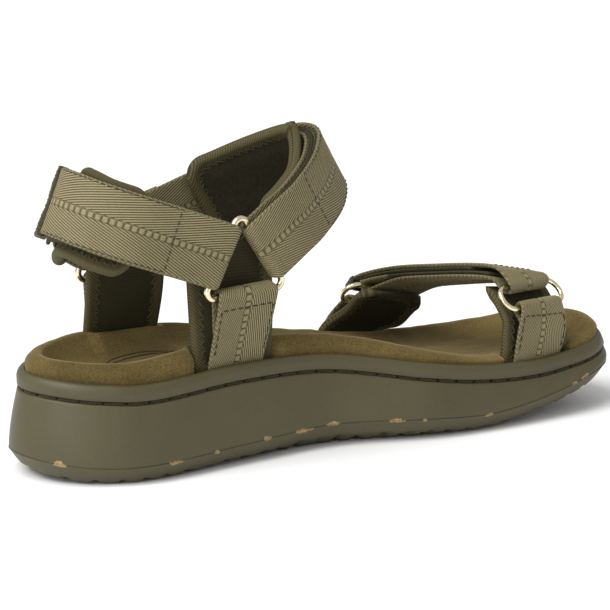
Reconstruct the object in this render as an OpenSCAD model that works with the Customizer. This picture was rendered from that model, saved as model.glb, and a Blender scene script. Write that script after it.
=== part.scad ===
// Strappy sport sandal, left foot, about EU 38.
// X runs from the heel to the toe, +Y is the outer (lateral) side and +Z is up.
// The origin is on the ground under the middle of the heel seat.

/* [Webbing] */
// Width of every webbing strap
webbing_width = 26; // [24:1:26]
// Thickness of the webbing
webbing_thick = 1.5; // [1:0.1:1.5]
// Width of the soft pads under the heel and instep straps
pad_width = 38; // [32:1:40]
// Thickness of the soft pads
pad_thick = 5; // [3:0.5:5]
// Thickness of the linings behind the side straps
lining_thick = 3.4; // [2:0.2:3.4]

/* [Rings] */
// Wire diameter of the triangular ankle rings
ankle_wire = 2.6; // [2:0.2:2.6]
// Wire diameter of the oblong toe rings
toe_wire = 2.2; // [1.8:0.2:2.2]
// Radial room between a ring's wire and the webbing that turns round it at the ankle
ankle_slack = 0.8; // [0.6:0.1:0.8]
// The same room at the toe
toe_slack = 0.6; // [0.5:0.1:0.6]

/* [Sole] */
// Height of the outsole's parting line above its lower edge
parting_height = 6.5; // [5:0.5:7]
// How far the side wall leans out between the stitched groove and the parting line
side_lean = 4; // [2:0.5:5]
// Height of the foam rim above the stitched groove
rim_height = 6.6; // [5:0.2:7]
// Depth of the stitched groove
groove_depth = 1.6; // [1:0.2:1.6]
// Thickness of the insole board
board_thick = 2; // [1:0.5:2.5]
// Thickness of the suede cover and the layer bonded to it
cover_thick = 1.2; // [1:0.1:1.5]
// Depth of the grooves across the tread
tread_depth = 1.5; // [1:0.5:2]

/* [Colours] */
// Main colour of the webbing
webbing_colour = "#8b8262"; // color
// Colour of the linings and pads
lining_colour = "#4f4a33"; // color
// Colour of the foam and rubber
sole_colour = "#5d5741"; // color
// Colour of the suede
suede_colour = "#7c6a3c"; // color
// Colour of the rings
ring_colour = "#d9c48f"; // color

/* [Hidden] */

// The sole's outline and levels, from the heel tip to the toe tip. Each row holds
// [x, medial y, lateral y, medial groove z, lateral groove z, lower edge z, tread z].
SOLE = [
    [-40, -2.5, -2.5, 33, 33, 3.5, 3],
    [-34, -18.5, 13.5, 32.4, 33, 2, 1.4],
    [-20, -29.5, 25.5, 31, 33.3, 0.5, 0],
    [0, -34.5, 33, 30.2, 33.5, 0.5, 0],
    [40, -30, 37, 32, 32, 1.8, 0],
    [80, -27, 40, 30.5, 25.5, 3.2, 0],
    [120, -37.5, 44, 24, 20.5, 2.2, 0],
    [150, -39, 44, 20, 18.5, 1, 0],
    [180, -37, 41, 18.8, 18.6, 4.6, 4],
    [203, -33.5, 30, 21.5, 21.5, 9.6, 9.2],
    [217, -24.5, 13, 25.3, 25.3, 12.4, 12],
    [222, -7, -7, 27, 27, 13.2, 13]
];
// Height of the footbed's rounded edge above the rim: [x, medial, lateral]
EDGE_HEIGHT = [[-40, 5.5, 5.5], [20, 9, 6], [85, 7, 5], [150, 2.5, 2.5], [222, 3, 3]];
// Depth of the footbed's dish below its rounded edge, along x
DISH_DEPTH = [[-40, 7], [0, 9], [60, 7], [110, 4.5], [222, 3.5]];
// Samples between two rows of SOLE, and columns across the dish
SOLE_STEPS = 4;
DISH_COLUMNS = 8;
// Distance inside the outline of the tread, the groove's floor, the rim's inner wall and the
// footbed's side
TREAD_INSET = 6;
RIM_INSET = 3;
FOOTBED_INSET = 3.2;
// Outline points, and the index of the toe tip
SIDE_POINTS = SOLE_STEPS * (len(SOLE) - 1);
RING_POINTS = 2 * SIDE_POINTS;

// Radii of the webbing's turns round the wires, at the middle of its thickness
ankle_turn = ankle_wire / 2 + ankle_slack + webbing_thick / 2;
toe_turn = toe_wire / 2 + toe_slack + webbing_thick / 2;
// Half of the ring bars' straight length and the corner radius of the triangular ring
BAR_LENGTH = 26.5;
ANKLE_CORNER = 3;
// Distance from the triangular ring's centre to each bar
ANKLE_BAR_OUT = BAR_LENGTH / (2 * sqrt(3)) + ANKLE_CORNER;

// Vector helpers
function unit(v) = v / norm(v);
function square_to(v, w) = unit(v - (v * w) * w);
function in_plane(angle) = [cos(angle), 0, sin(angle)];
function flat(lists) = [for (list = lists) each list];
function head(v) = [v[0], v[1], v[2]];
function tail(v) = [v[3], v[4], v[5]];

// A smooth curve through a, b, c and d, between b and c
function blend_point(a, b, c, d, t) =
    0.5 * (2 * b + (c - a) * t + (2 * a - 5 * b + 4 * c - d) * t * t
        + (3 * b - a - 3 * c + d) * t * t * t);
// A smooth curve from the second knot to the last but one
function curve(knots, steps) = concat(
    [for (i = [1 : len(knots) - 3], k = [0 : steps - 1])
        blend_point(knots[i - 1], knots[i], knots[i + 1], knots[i + 2], k / steps)],
    [knots[len(knots) - 2]]);
// Linear reading of one column of a table that is sorted by x
function read(table, x, column) = lookup(x, [for (row = table) [row[0], row[column]]]);

// SOLE with a mirrored row added past each tip, so that the outline rounds both tips
function swap_sides(row) = [row[0], row[2], row[1], row[4], row[3], row[5], row[6]];
SOLE_KNOTS = concat([swap_sides(SOLE[1])], SOLE, [swap_sides(SOLE[len(SOLE) - 2])]);
SOLE_ROWS = curve(SOLE_KNOTS, SOLE_STEPS);

// Row and side of outline point i, which runs along the lateral side and back along the medial
function is_lateral(i) = i <= SIDE_POINTS;
function sole_row(i) = SOLE_ROWS[is_lateral(i) ? i : RING_POINTS - i];
function outline(i) = [sole_row(i)[0], sole_row(i)[is_lateral(i) ? 2 : 1]];
function groove_z(i) = sole_row(i)[is_lateral(i) ? 4 : 3];
function lower_z(i) = sole_row(i)[5];
function tread_z(i) = max(0, sole_row(i)[6]);
function edge_height(i) = read(EDGE_HEIGHT, sole_row(i)[0], is_lateral(i) ? 2 : 1);

// Outline point i moved out by a distance, at height z
function wrap(i) = (i + RING_POINTS) % RING_POINTS;
function outward(i) = let (d = outline(wrap(i + 1)) - outline(wrap(i - 1))) unit([-d[1], d[0]]);
function outset(i, distance, z) =
    let (p = outline(i) + distance * outward(i)) [p[0], p[1], z];
// A ring of points, where z comes from one of the levels plus a height. On the footbed a share
// of the rounded edge's height is added too.
function ring(distance, level, height, share = 0) =
    [for (i = [0 : RING_POINTS - 1])
        outset(i, distance, level_z(i, level) + height + share * edge_height(i))];
function level_z(i, level) =
    level == "tread" ? tread_z(i) :
    level == "lower" ? lower_z(i) :
    level == "groove" ? groove_z(i) : groove_z(i) + rim_height;

// A grid that closes a ring across its width, sunk by the dish's share of a depth
function grid_row(points, i, columns, dish) =
    let (a = points[i], b = points[RING_POINTS - i])
    [for (k = [1 : columns - 1])
        let (p = a + (b - a) * k / columns)
        [p[0], p[1], p[2] - dish * sink(p, norm(b - a) * min(k, columns - k) / columns)]];
function sink(p, to_side) =
    let (to_tip = min(p[0] - SOLE[0][0] - 8, SOLE[len(SOLE) - 1][0] - 8 - p[0]),
         near = 1 - min(1, min(to_side, to_tip) / 20))
    read(DISH_DEPTH, p[0], 1) * (1 - near * near);
function grid_points(points, columns, dish) =
    flat([for (i = [1 : SIDE_POINTS - 1]) grid_row(points, i, columns, dish)]);

// Index of a grid point: column 0 and the last column are the ring's own points
function grid_index(i, k, columns, first_ring, first_grid) =
    k == 0 || i == 0 || i == SIDE_POINTS ? first_ring + i :
    k == columns ? first_ring + RING_POINTS - i :
    first_grid + (i - 1) * (columns - 1) + k - 1;
function grid_faces(columns, first_ring, first_grid, up) =
    flat([for (i = [0 : SIDE_POINTS - 1], k = [0 : columns - 1])
        let (a = grid_index(i, k, columns, first_ring, first_grid),
             b = grid_index(i + 1, k, columns, first_ring, first_grid),
             c = grid_index(i + 1, k + 1, columns, first_ring, first_grid),
             d = grid_index(i, k + 1, columns, first_ring, first_grid),
             faces = i == 0 ? [[a, b, c]] : i == SIDE_POINTS - 1 ? [[a, b, d]]
                : [[a, b, c], [a, c, d]])
        [for (f = faces) up ? [f[2], f[1], f[0]] : f]]);
// The band of faces between ring a and ring b, which is further along the surface
function band_faces(a, b) =
    flat([for (i = [0 : RING_POINTS - 1])
        let (j = (i + 1) % RING_POINTS)
        [[a + i, b + j, a + j], [a + i, b + i, b + j]]]);

// A solid of stacked rings, closed by a flat grid below and a dished grid above
module stacked_solid(rings, top_columns = 1, dish = 0) {
    count = len(rings);
    last_ring = (count - 1) * RING_POINTS;
    first_grid = count * RING_POINTS;
    polyhedron(
        concat(flat(rings), grid_points(rings[count - 1], top_columns, dish)),
        concat(
            grid_faces(1, 0, 0, true),
            [for (r = [0 : count - 2]) each band_faces((r + 1) * RING_POINTS, r * RING_POINTS)],
            grid_faces(top_columns, last_ring, first_grid, false)));
}

// A closed band: rings joined round from the last to the first
module ring_band(rings) {
    count = len(rings);
    polyhedron(flat(rings),
        [for (r = [0 : count - 1])
            each band_faces(((r + 1) % count) * RING_POINTS, r * RING_POINTS)]);
}

// Points and width directions of a strap's path from knots [x, y, z, wx, wy, wz]
function path_of(knots, steps) = [for (p = curve(knots, steps)) concat(head(p), unit(tail(p)))];
function along(path, i) =
    unit(head(path[min(i + 1, len(path) - 1)]) - head(path[max(i - 1, 0)]));
function normal_of(path, i) = unit(cross(along(path, i), tail(path[i])));
// The same path moved along its own normals
function lifted(path, height) =
    [for (i = [0 : len(path) - 1])
        concat(head(path[i]) + height * normal_of(path, i), tail(path[i]))];
function part_of(path, first, last) = [for (i = [first : last]) path[i]];

// Half a turn round a bar: side points to where it starts and away to where the strap leaves.
// The webbing is gathered a little inside the ring, so that neighbouring straps clear each other.
GATHERED = 0.1;
function turn_path(middle, bar, side, away, radius, steps = 8) =
    [for (k = [0 : steps])
        let (angle = 180 * k / steps, width_share = 1 - GATHERED * pow(sin(angle), 2))
        concat(middle + radius * (cos(angle) * side - sin(angle) * away), width_share * bar)];

// A strap with a rectangular section, from a lower to an upper height along the path's normals,
// between two of the path's points
module ribbon(path, width, low, high, span = undef) {
    first = span == undef ? 0 : span[0];
    last = span == undef ? len(path) - 1 : span[1];
    count = last - first + 1;
    function corner(i, across, height) =
        head(path[i]) + across * width / 2 * tail(path[i]) + height * normal_of(path, i);
    points = [for (i = [first : last])
        each [corner(i, -1, low), corner(i, 1, low), corner(i, 1, high), corner(i, -1, high)]];
    sides = [for (i = [0 : count - 2], k = [0 : 3])
        let (a = 4 * i + k, b = 4 * i + (k + 1) % 4)
        each [[a, b + 4, b], [a, a + 4, b + 4]]];
    end = 4 * (count - 1);
    polyhedron(points, concat(sides,
        [[0, 1, 2], [0, 2, 3], [end + 2, end + 1, end], [end + 3, end + 2, end]]));
}
// Webbing whose middle runs along the path
module webbing(path) {
    ribbon(path, webbing_width, -webbing_thick / 2, webbing_thick / 2);
}

// Centres of the triangular rings, and their tilt in the XZ plane
MEDIAL_RING = [39.8, -30, 76.7];
LATERAL_RING = [15.5, 30, 77];
RING_TILT = 3.7;
// Ways along and out across the triangular ring's bars, as angles from +X towards +Z
BOTTOM_BAR = RING_TILT;
REAR_BAR = RING_TILT + 60;
FRONT_BAR = RING_TILT - 60;
BOTTOM_OUT = RING_TILT - 90;
REAR_OUT = RING_TILT + 150;
FRONT_OUT = RING_TILT + 30;
// Bars of the oblong rings: the lower one carries the tab and the upper one the strap
TOE_BARS_APART = 11;
MEDIAL_TOE_HIGH = [178, -24, 55];
MEDIAL_TOE_UP = unit([-0.14, 0.65, 0.76]);
MEDIAL_TOE_BAR = square_to([0.976, 0.1, -0.19], MEDIAL_TOE_UP);
MEDIAL_TOE_OUT = cross(MEDIAL_TOE_BAR, MEDIAL_TOE_UP);
MEDIAL_TOE_LOW = MEDIAL_TOE_HIGH - TOE_BARS_APART * MEDIAL_TOE_UP;
LATERAL_TOE_HIGH = [145, 31, 46.5];
LATERAL_TOE_UP = unit([0.3, -0.65, 0.69]);
LATERAL_TOE_BAR = square_to([0.96, 0.1, -0.25], LATERAL_TOE_UP);
LATERAL_TOE_OUT = cross(LATERAL_TOE_UP, LATERAL_TOE_BAR);
LATERAL_TOE_LOW = LATERAL_TOE_HIGH - TOE_BARS_APART * LATERAL_TOE_UP;
function ankle_bar(centre, out_angle) = centre + ANKLE_BAR_OUT * in_plane(out_angle);

// Layers of a closed strap, as depths below the outer face of the flap: flap webbing, hook tape,
// loop tape, strap webbing and pad
TAPE_ROOM = 0.3;
// Thickness of the glue and stitching between two bonded layers
BOND = 0.12;
HOOK_SHARE = 0.45;
ankle_gap = ankle_wire + 2 * ankle_slack;
toe_gap = toe_wire + 2 * toe_slack;
function hook_thick(gap) = HOOK_SHARE * (gap - TAPE_ROOM);
function loop_top(gap) = webbing_thick + hook_thick(gap) + TAPE_ROOM;
function strap_top(gap) = webbing_thick + gap;
function strap_middle(gap) = webbing_thick * 1.5 + gap;
function bar_depth(gap) = webbing_thick + gap / 2;
// Steps between two knots of a strap
STRAP_STEPS = 6;
// How far from its bar's axis a flap begins, so that it can swing past the webbing's turn
FLAP_ROOM = 0.4;

// A strap's knot on a bar, and the knot past it that sets its direction there
function bar_knot(bar, side, depth, width_way) = concat(bar + depth * side, width_way);
function past_knot(bar, side, depth, width_way, away) =
    concat(bar + depth * side - 12 * away, width_way);

// Heel strap, from the lateral ring round the heel to the medial ring, along the flap's outer face
HEEL_BARS = [ankle_bar(LATERAL_RING, REAR_OUT), ankle_bar(MEDIAL_RING, REAR_OUT)];
HEEL_KNOTS = [
    past_knot(HEEL_BARS[0], [0, 1, 0], bar_depth(ankle_gap), in_plane(REAR_BAR),
        in_plane(REAR_OUT)),
    bar_knot(HEEL_BARS[0], [0, 1, 0], bar_depth(ankle_gap), in_plane(REAR_BAR)),
    [-7, 28, 89, 0.42, -0.06, 0.9],
    [-17.5, 16.5, 97, 0.38, -0.1, 0.92],
    [-24, 3, 102.8, 0.36, -0.04, 0.93],
    [-24.5, -9, 103, 0.36, 0.02, 0.93],
    [-18.5, -21.5, 100, 0.38, 0.06, 0.92],
    [-5, -30, 94.7, 0.4, 0.05, 0.91],
    [12, -33, 88.3, 0.42, 0.02, 0.9],
    bar_knot(HEEL_BARS[1], [0, -1, 0], bar_depth(ankle_gap), in_plane(REAR_BAR)),
    past_knot(HEEL_BARS[1], [0, -1, 0], bar_depth(ankle_gap), in_plane(REAR_BAR),
        in_plane(REAR_OUT))
];
// Instep strap, from the lateral ring over the instep to the medial ring
INSTEP_BARS = [ankle_bar(LATERAL_RING, FRONT_OUT), ankle_bar(MEDIAL_RING, FRONT_OUT)];
INSTEP_KNOTS = [
    past_knot(INSTEP_BARS[0], [0, 1, 0], bar_depth(ankle_gap), in_plane(FRONT_BAR),
        in_plane(FRONT_OUT)),
    bar_knot(INSTEP_BARS[0], [0, 1, 0], bar_depth(ankle_gap), in_plane(FRONT_BAR)),
    [45, 35, 90.5, 0.52, 0.02, -0.85],
    [65, 33, 98.5, 0.5, 0.08, -0.86],
    [81, 25, 107.5, 0.52, 0.16, -0.84],
    [93, 12, 113.5, 0.52, 0.16, -0.84],
    [96, -3, 113, 0.52, 0.06, -0.85],
    [88.5, -15, 105, 0.53, -0.02, -0.85],
    [73, -26, 96, 0.53, 0, -0.85],
    [60, -31.8, 89.8, 0.54, 0, -0.84],
    bar_knot(INSTEP_BARS[1], [0, -1, 0], bar_depth(ankle_gap), in_plane(FRONT_BAR)),
    past_knot(INSTEP_BARS[1], [0, -1, 0], bar_depth(ankle_gap), in_plane(FRONT_BAR),
        in_plane(FRONT_OUT))
];
// Toe strap, from the flap's end over the lateral ring and the toes to the medial ring. At the
// lateral ring the flap lies on the webbing's turn.
toe_turn_top = toe_turn + webbing_thick / 2;
flap_over_turn = toe_turn_top + TAPE_ROOM + hook_thick(toe_gap) + webbing_thick;
TOE_KNOTS = [
    [143, 44, 42, 0.96, 0.1, -0.25],
    [144, 39.3, 47, 0.96, 0.1, -0.25],
    concat(LATERAL_TOE_HIGH + flap_over_turn * LATERAL_TOE_OUT, LATERAL_TOE_BAR),
    [152, 20, 56.5, 0.94, 0.22, -0.26],
    [161, 4, 59.5, 0.94, 0.24, -0.24],
    [170, -11, 61.5, 0.95, 0.2, -0.22],
    [176, -21, 61, 0.96, 0.14, -0.2],
    bar_knot(MEDIAL_TOE_HIGH, MEDIAL_TOE_OUT, bar_depth(toe_gap), MEDIAL_TOE_BAR),
    past_knot(MEDIAL_TOE_HIGH, MEDIAL_TOE_OUT, bar_depth(toe_gap), MEDIAL_TOE_BAR,
        MEDIAL_TOE_UP)
];
HEEL_PATH = path_of(HEEL_KNOTS, STRAP_STEPS);
INSTEP_PATH = path_of(INSTEP_KNOTS, STRAP_STEPS);
TOE_PATH = path_of(TOE_KNOTS, STRAP_STEPS);
// Path points where the pads, flaps and tapes begin and end
HEEL_PAD_SPAN = [9, 38];
HEEL_FLAP_START = 18;
HEEL_HOOK_SPAN = [17, 42];
HEEL_LOOP_SPAN = [15, 43];
INSTEP_PAD_SPAN = [8, 49];
INSTEP_FLAP_START = 23;
INSTEP_HOOK_SPAN = [22, 40];
INSTEP_LOOP_SPAN = [19, 44];
TOE_RING_POINT = 6;
TOE_HOOK_SPAN = [0, 24];
// The toe flap stops short of its ring, so that its slanting corner clears the webbing's turn
TOE_FLAP_SPAN = [0, 30];
TOE_LOOP_SPAN = [11, 28];
// The heel pad stands out less above its strap than below it
HEEL_PAD_EDGES = [for (i = [0 : len(HEEL_PATH) - 1]) [pad_width / 2 - 3, pad_width / 2]];
// The instep pad narrows to its strap's width on the way to the medial ring
INSTEP_PAD_EDGES = [for (i = [0 : len(INSTEP_PATH) - 1])
    let (edge = pad_width / 2 + (webbing_width / 2 - pad_width / 2) * ease((i - 29) / 10))
        [edge, edge]];
// Points of a strap's return leg, which is stitched down near its fixed ring
LEG_POINTS = 5;

// The flap's path, whose last point stops short of the bar by a distance that clears the turn
function flap_path(path, first, gap, turn) =
    let (last = len(path) - 1,
         reach = turn + webbing_thick / 2 + FLAP_ROOM,
         short = sqrt(reach * reach - gap * gap / 4))
    concat(part_of(path, first, last - 2),
        [concat(head(path[last]) - short * along(path, last), tail(path[last]))]);
// A share from 0 to 1 that starts and ends gently
function ease(x) = let (t = max(0, min(1, x))) t * t * (3 - 2 * t);
// A path shifted and narrowed so that a band of the pads' width reaches the given distances
// each side: the first along the path's width way, the second against it
function edged(path, edges) =
    [for (i = [0 : len(path) - 1])
        let (along_way = edges[i][0], against = edges[i][1], way = tail(path[i]))
            concat(head(path[i]) + (along_way - against) / 2 * way,
                (along_way + against) / pad_width * way)];
// A path lowered by one depth at its start and another from its settle point on
function settled(path, first_depth, depth, settle) =
    [for (i = [0 : len(path) - 1])
        let (share = 0.5 + 0.5 * cos(180 * min(1, i / settle)))
        concat(head(path[i]) - (depth + (first_depth - depth) * share) * normal_of(path, i),
            tail(path[i]))];
function reversed(path) = [for (i = [len(path) - 1 : -1 : 0]) path[i]];
// The leg that comes back from the fixed ring and meets the strap's outer face
function return_leg(path, first_depth, last_depth) =
    reversed([for (i = [1 : LEG_POINTS])
        let (share = 0.5 - 0.5 * cos(180 * i / LEG_POINTS))
        concat(head(path[i])
            - (first_depth + (last_depth - first_depth) * share) * normal_of(path, i),
            tail(path[i]))]);

// Strap webbing: return leg, turn round the fixed ring, the strap, and the turn at the far ring
function ankle_strap_path(path, bars, out_angle, width_way) = concat(
    return_leg(path, webbing_thick / 2, strap_top(ankle_gap) - webbing_thick / 2 - 0.1),
    turn_path(bars[0], width_way, [0, 1, 0], in_plane(out_angle), ankle_turn),
    part_of(lifted(path, -strap_middle(ankle_gap)), 1, len(path) - 2),
    turn_path(bars[1], width_way, [0, 1, 0], in_plane(out_angle), ankle_turn));

// Side straps: x of the root, side, and the distance of a layer inside the footbed's side
function side_y(x, side) = read(SOLE_ROWS, x, side < 0 ? 1 : 2);
function side_way(x, side) = unit([4, side_y(x + 2, side) - side_y(x - 2, side), 0]);
function slot_floor(x, side) = read(SOLE_ROWS, x, side < 0 ? 3 : 4) + board_thick;
function root_knot(x, side, depth, height) =
    concat([x, side_y(x, side) - side * (FOOTBED_INSET + depth), slot_floor(x, side) + height],
        side_way(x, side));
ROOM = 0.4;
// Height of the roots' ends above the insole board at the middle of their width
ROOT_LIFT = 1.7;
// Gap between webbing and lining in the slot, and how far the webbing leans out over the rim
ROOT_GAP = 0.45;
ROOT_LEAN = 0.3;
webbing_depth = ROOM + webbing_thick / 2;
lining_depth = ROOM + webbing_thick + ROOT_GAP + lining_thick / 2;
slot_depth = lining_depth + lining_thick / 2 + 0.3;
// Root x, side, lining width and extra slot depth of the side straps
MEDIAL_ANKLE = [38.5, -1, 37, 1];
LATERAL_ANKLE = [16.2, 1, 34, 3];
MEDIAL_TOE = [178, -1, 35, 0.3];
LATERAL_TOE = [130.5, 1, 35, 0.3];
SIDE_STRAPS = [MEDIAL_ANKLE, LATERAL_ANKLE, MEDIAL_TOE, LATERAL_TOE];
// Ankle linings: height and distance from the middle plane at their bend and at their top
LINING_BEND = [61, 22.6];
LINING_SHOULDER = [81, 20.5];
LINING_TOP = [91, 19.5];
// The lining's width at its top, as a share of its width below the shoulder
LINING_TOP_SHARE = 0.5;
// Height at which the webbing's inner leg ends
LEG_END = 52;

function ankle_side_path(place, centre) =
    let (x = place[0], side = place[1], bar = ankle_bar(centre, BOTTOM_OUT),
         root = root_knot(x, side, webbing_depth, ROOT_LIFT), way = in_plane(BOTTOM_BAR),
         rim_knot = root_knot(x, side, webbing_depth - ROOT_LEAN, rim_height - board_thick + 0.5),
         outer = concat(bar + [0, side * ankle_turn, 0], way),
         leg_y = bar[1] - side * ankle_turn,
         join_y = rim_knot[1] + 0.5 * (bar[1] + side * ankle_turn - rim_knot[1])
            - side * (webbing_thick + 0.15))
    concat(
        curve([root - [0, 0, 5, 0, 0, 0], root, rim_knot, outer, outer + [0, 0, 10, 0, 0, 0]],
            STRAP_STEPS),
        part_of(turn_path(bar, way, [0, side, 0], in_plane(BOTTOM_OUT), ankle_turn), 1, 8),
        [for (k = [1 : 3])
            let (share = k / 3)
            concat([bar[0], leg_y + share * (join_y - leg_y), bar[2] + share * (LEG_END - bar[2])],
                way)]);
function ankle_lining_path(place) =
    let (x = place[0], side = place[1],
         root = root_knot(x, side, lining_depth, ROOT_LIFT),
         rim_knot = root_knot(x, side, lining_depth, rim_height - board_thick + 0.5),
         bend = [x, side * LINING_BEND[1], LINING_BEND[0], 1, 0, 0],
         shoulder = [x, side * LINING_SHOULDER[1], LINING_SHOULDER[0], 1, 0, 0],
         top = [x, side * LINING_TOP[1], LINING_TOP[0], LINING_TOP_SHARE, 0, 0])
    curve([root - [0, 0, 5, 0, 0, 0], root, rim_knot, bend, shoulder, top,
        2 * top - shoulder], STRAP_STEPS);
// Toe tab: up to the ring's lower bar, round it and down again
function toe_tab_path(place, middle, low, bar, out, up) =
    let (root = root_knot(place[0], place[1], webbing_depth, ROOT_LIFT),
         rim_knot = root_knot(place[0], place[1], webbing_depth - ROOT_LEAN, rim_height - board_thick + 0.5),
         outer = concat(low + toe_turn * out, bar))
    concat(
        curve([root - [0, 0, 5, 0, 0, 0], root, rim_knot, middle, outer,
            outer + concat(8 * up, [0, 0, 0])], STRAP_STEPS),
        part_of(turn_path(low, bar, out, -up, toe_turn), 1, 8),
        [for (k = [1 : 2]) concat(low - toe_turn * out - 3.5 * k * up, bar)]);
function toe_lining_path(place, middle, low, high, bar, out, finish) =
    let (root = root_knot(place[0], place[1], lining_depth, ROOT_LIFT),
         rim_knot = root_knot(place[0], place[1], lining_depth, rim_height - board_thick + 0.5),
         depth = toe_turn_top + 0.9 + lining_thick / 2)
    curve([root - [0, 0, 5, 0, 0, 0], root, rim_knot, middle, concat(low - depth * out, bar),
        concat(high - depth * out, bar), finish, finish + (finish - concat(high, bar))],
        STRAP_STEPS);

// The thread that lies in the groove, with a six-sided section
THREAD_SIDES = 6;
THREAD_RADIUS = 0.6;
THREAD_OUTSET = -0.35;

/* Sole unit */
module outsole() {
    color(sole_colour)
        difference() {
            stacked_solid([
                ring(-TREAD_INSET, "tread", 0),
                ring(-0.5, "lower", 0),
                ring(side_lean * 0.6, "lower", parting_height * 0.35),
                ring(side_lean, "lower", parting_height)]);
            for (x = [-31.5 : 9 : 205])
                translate([x - 1, -60, -2])
                    cube([2, 120, 2 + tread_depth + read(SOLE, x, 6)]);
        }
}
module midsole() {
    color(sole_colour)
        stacked_solid([
            ring(side_lean, "lower", parting_height),
            ring(0.3, "groove", -groove_depth),
            ring(0.3 - groove_depth, "groove", 0),
            ring(-FOOTBED_INSET, "groove", 0)]);
}
module rim_band() {
    color(sole_colour)
        ring_band([
            ring(-RIM_INSET, "groove", 0),
            ring(0.3 - groove_depth, "groove", 0),
            ring(0.3, "groove", groove_depth),
            ring(0.1, "groove", rim_height * 0.7),
            ring(-1, "groove", rim_height * 0.93),
            ring(-2.7, "groove", rim_height),
            ring(-RIM_INSET, "groove", rim_height)]);
}
module groove_stitching() {
    rings = [for (k = [0 : THREAD_SIDES - 1])
        let (angle = 360 * k / THREAD_SIDES)
        ring(THREAD_OUTSET + THREAD_RADIUS * cos(angle), "groove", THREAD_RADIUS * sin(angle))];
    color("#26241a") ring_band(rings);
}
module insole_board() {
    color("#a08c66")
        stacked_solid([
            ring(-FOOTBED_INSET, "groove", 0),
            ring(-FOOTBED_INSET, "groove", board_thick)]);
}
// Slots beside the footbed for the ends of the side straps
module strap_slots() {
    for (place = SIDE_STRAPS) {
        x = place[0];
        side = place[1];
        way = side_way(x, side);
        translate([x, side_y(x, side) - side * FOOTBED_INSET, slot_floor(x, side)])
            rotate([0, 0, atan2(way[1], way[0])])
                translate([0, side * (1 - slot_depth - place[3]) / 2, 20])
                    cube([place[2] + 1.6, slot_depth + place[3] + 1, 40], center = true);
    }
}
// Rings of the core's rounded edge, shared by the core and the inside of the cover
CORE_EDGE = [
    ring(-FOOTBED_INSET - cover_thick, "rim", 0),
    ring(-FOOTBED_INSET - cover_thick - 0.1, "rim", -0.4, 0.6),
    ring(-FOOTBED_INSET - cover_thick - 1.5, "rim", -cover_thick, 0.95),
    ring(-FOOTBED_INSET - 5, "rim", -cover_thick, 1)];
COVER_EDGE = [
    ring(-FOOTBED_INSET, "rim", 0),
    ring(-FOOTBED_INSET - 0.1, "rim", 0, 0.6),
    ring(-FOOTBED_INSET - 1.5, "rim", 0, 0.93),
    ring(-FOOTBED_INSET - 5, "rim", 0, 1)];
module footbed_core() {
    color("#c8b48a")
        difference() {
            stacked_solid(concat([
                ring(-FOOTBED_INSET, "groove", board_thick),
                ring(-FOOTBED_INSET, "rim", 0)], CORE_EDGE), DISH_COLUMNS, 1);
            strap_slots();
        }
}
module footbed_cover() {
    edges = concat(COVER_EDGE, CORE_EDGE);
    count = len(COVER_EDGE);
    outer_top = (count - 1) * RING_POINTS;
    inner_first = count * RING_POINTS;
    inner_top = (2 * count - 1) * RING_POINTS;
    outer_grid = 2 * count * RING_POINTS;
    inner_grid = outer_grid + (SIDE_POINTS - 1) * (DISH_COLUMNS - 1);
    points = concat(flat(edges), grid_points(COVER_EDGE[count - 1], DISH_COLUMNS, 1),
        grid_points(CORE_EDGE[count - 1], DISH_COLUMNS, 1));
    faces = concat(
        [for (r = [0 : count - 2]) each band_faces((r + 1) * RING_POINTS, r * RING_POINTS)],
        [for (r = [count : 2 * count - 2])
            each band_faces(r * RING_POINTS, (r + 1) * RING_POINTS)],
        band_faces(0, inner_first),
        grid_faces(DISH_COLUMNS, outer_top, outer_grid, false),
        grid_faces(DISH_COLUMNS, inner_top, inner_grid, true));
    color(suede_colour)
        difference() {
            polyhedron(points, faces);
            strap_slots();
        }
}

/* Side straps */
module side_lining(path, width) {
    color(lining_colour) ribbon(path, width, -lining_thick / 2, lining_thick / 2);
}
module medial_ankle_lining() {
    side_lining(ankle_lining_path(MEDIAL_ANKLE), MEDIAL_ANKLE[2]);
}
module lateral_ankle_lining() {
    side_lining(ankle_lining_path(LATERAL_ANKLE), LATERAL_ANKLE[2]);
}
module medial_ankle_webbing() {
    color(webbing_colour) webbing(ankle_side_path(MEDIAL_ANKLE, MEDIAL_RING));
}
module lateral_ankle_webbing() {
    color(webbing_colour) webbing(ankle_side_path(LATERAL_ANKLE, LATERAL_RING));
}
module medial_toe_tab() {
    color(webbing_colour)
        webbing(toe_tab_path(MEDIAL_TOE, [178.8, -35.5, 38, 0.99, 0.05, -0.08], MEDIAL_TOE_LOW,
            MEDIAL_TOE_BAR, MEDIAL_TOE_OUT, MEDIAL_TOE_UP));
}
module lateral_toe_tab() {
    color(webbing_colour)
        webbing(toe_tab_path(LATERAL_TOE, [135, 41.6, 33.5, 0.98, 0.05, -0.15], LATERAL_TOE_LOW,
            LATERAL_TOE_BAR, LATERAL_TOE_OUT, LATERAL_TOE_UP));
}
module medial_toe_lining() {
    side_lining(toe_lining_path(MEDIAL_TOE, [178.5, -30.8, 35, 0.99, 0.05, -0.08],
        MEDIAL_TOE_LOW, MEDIAL_TOE_HIGH, MEDIAL_TOE_BAR, MEDIAL_TOE_OUT,
        [173, -12, 50.6, 0.96, 0.2, -0.2]), MEDIAL_TOE[2]);
}
module lateral_toe_lining() {
    side_lining(toe_lining_path(LATERAL_TOE, [134.5, 37.2, 31, 0.98, 0.05, -0.15],
        LATERAL_TOE_LOW, LATERAL_TOE_HIGH, LATERAL_TOE_BAR, LATERAL_TOE_OUT,
        [149, 18.5, 45.4, 0.95, 0.2, -0.24]), LATERAL_TOE[2]);
}

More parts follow.
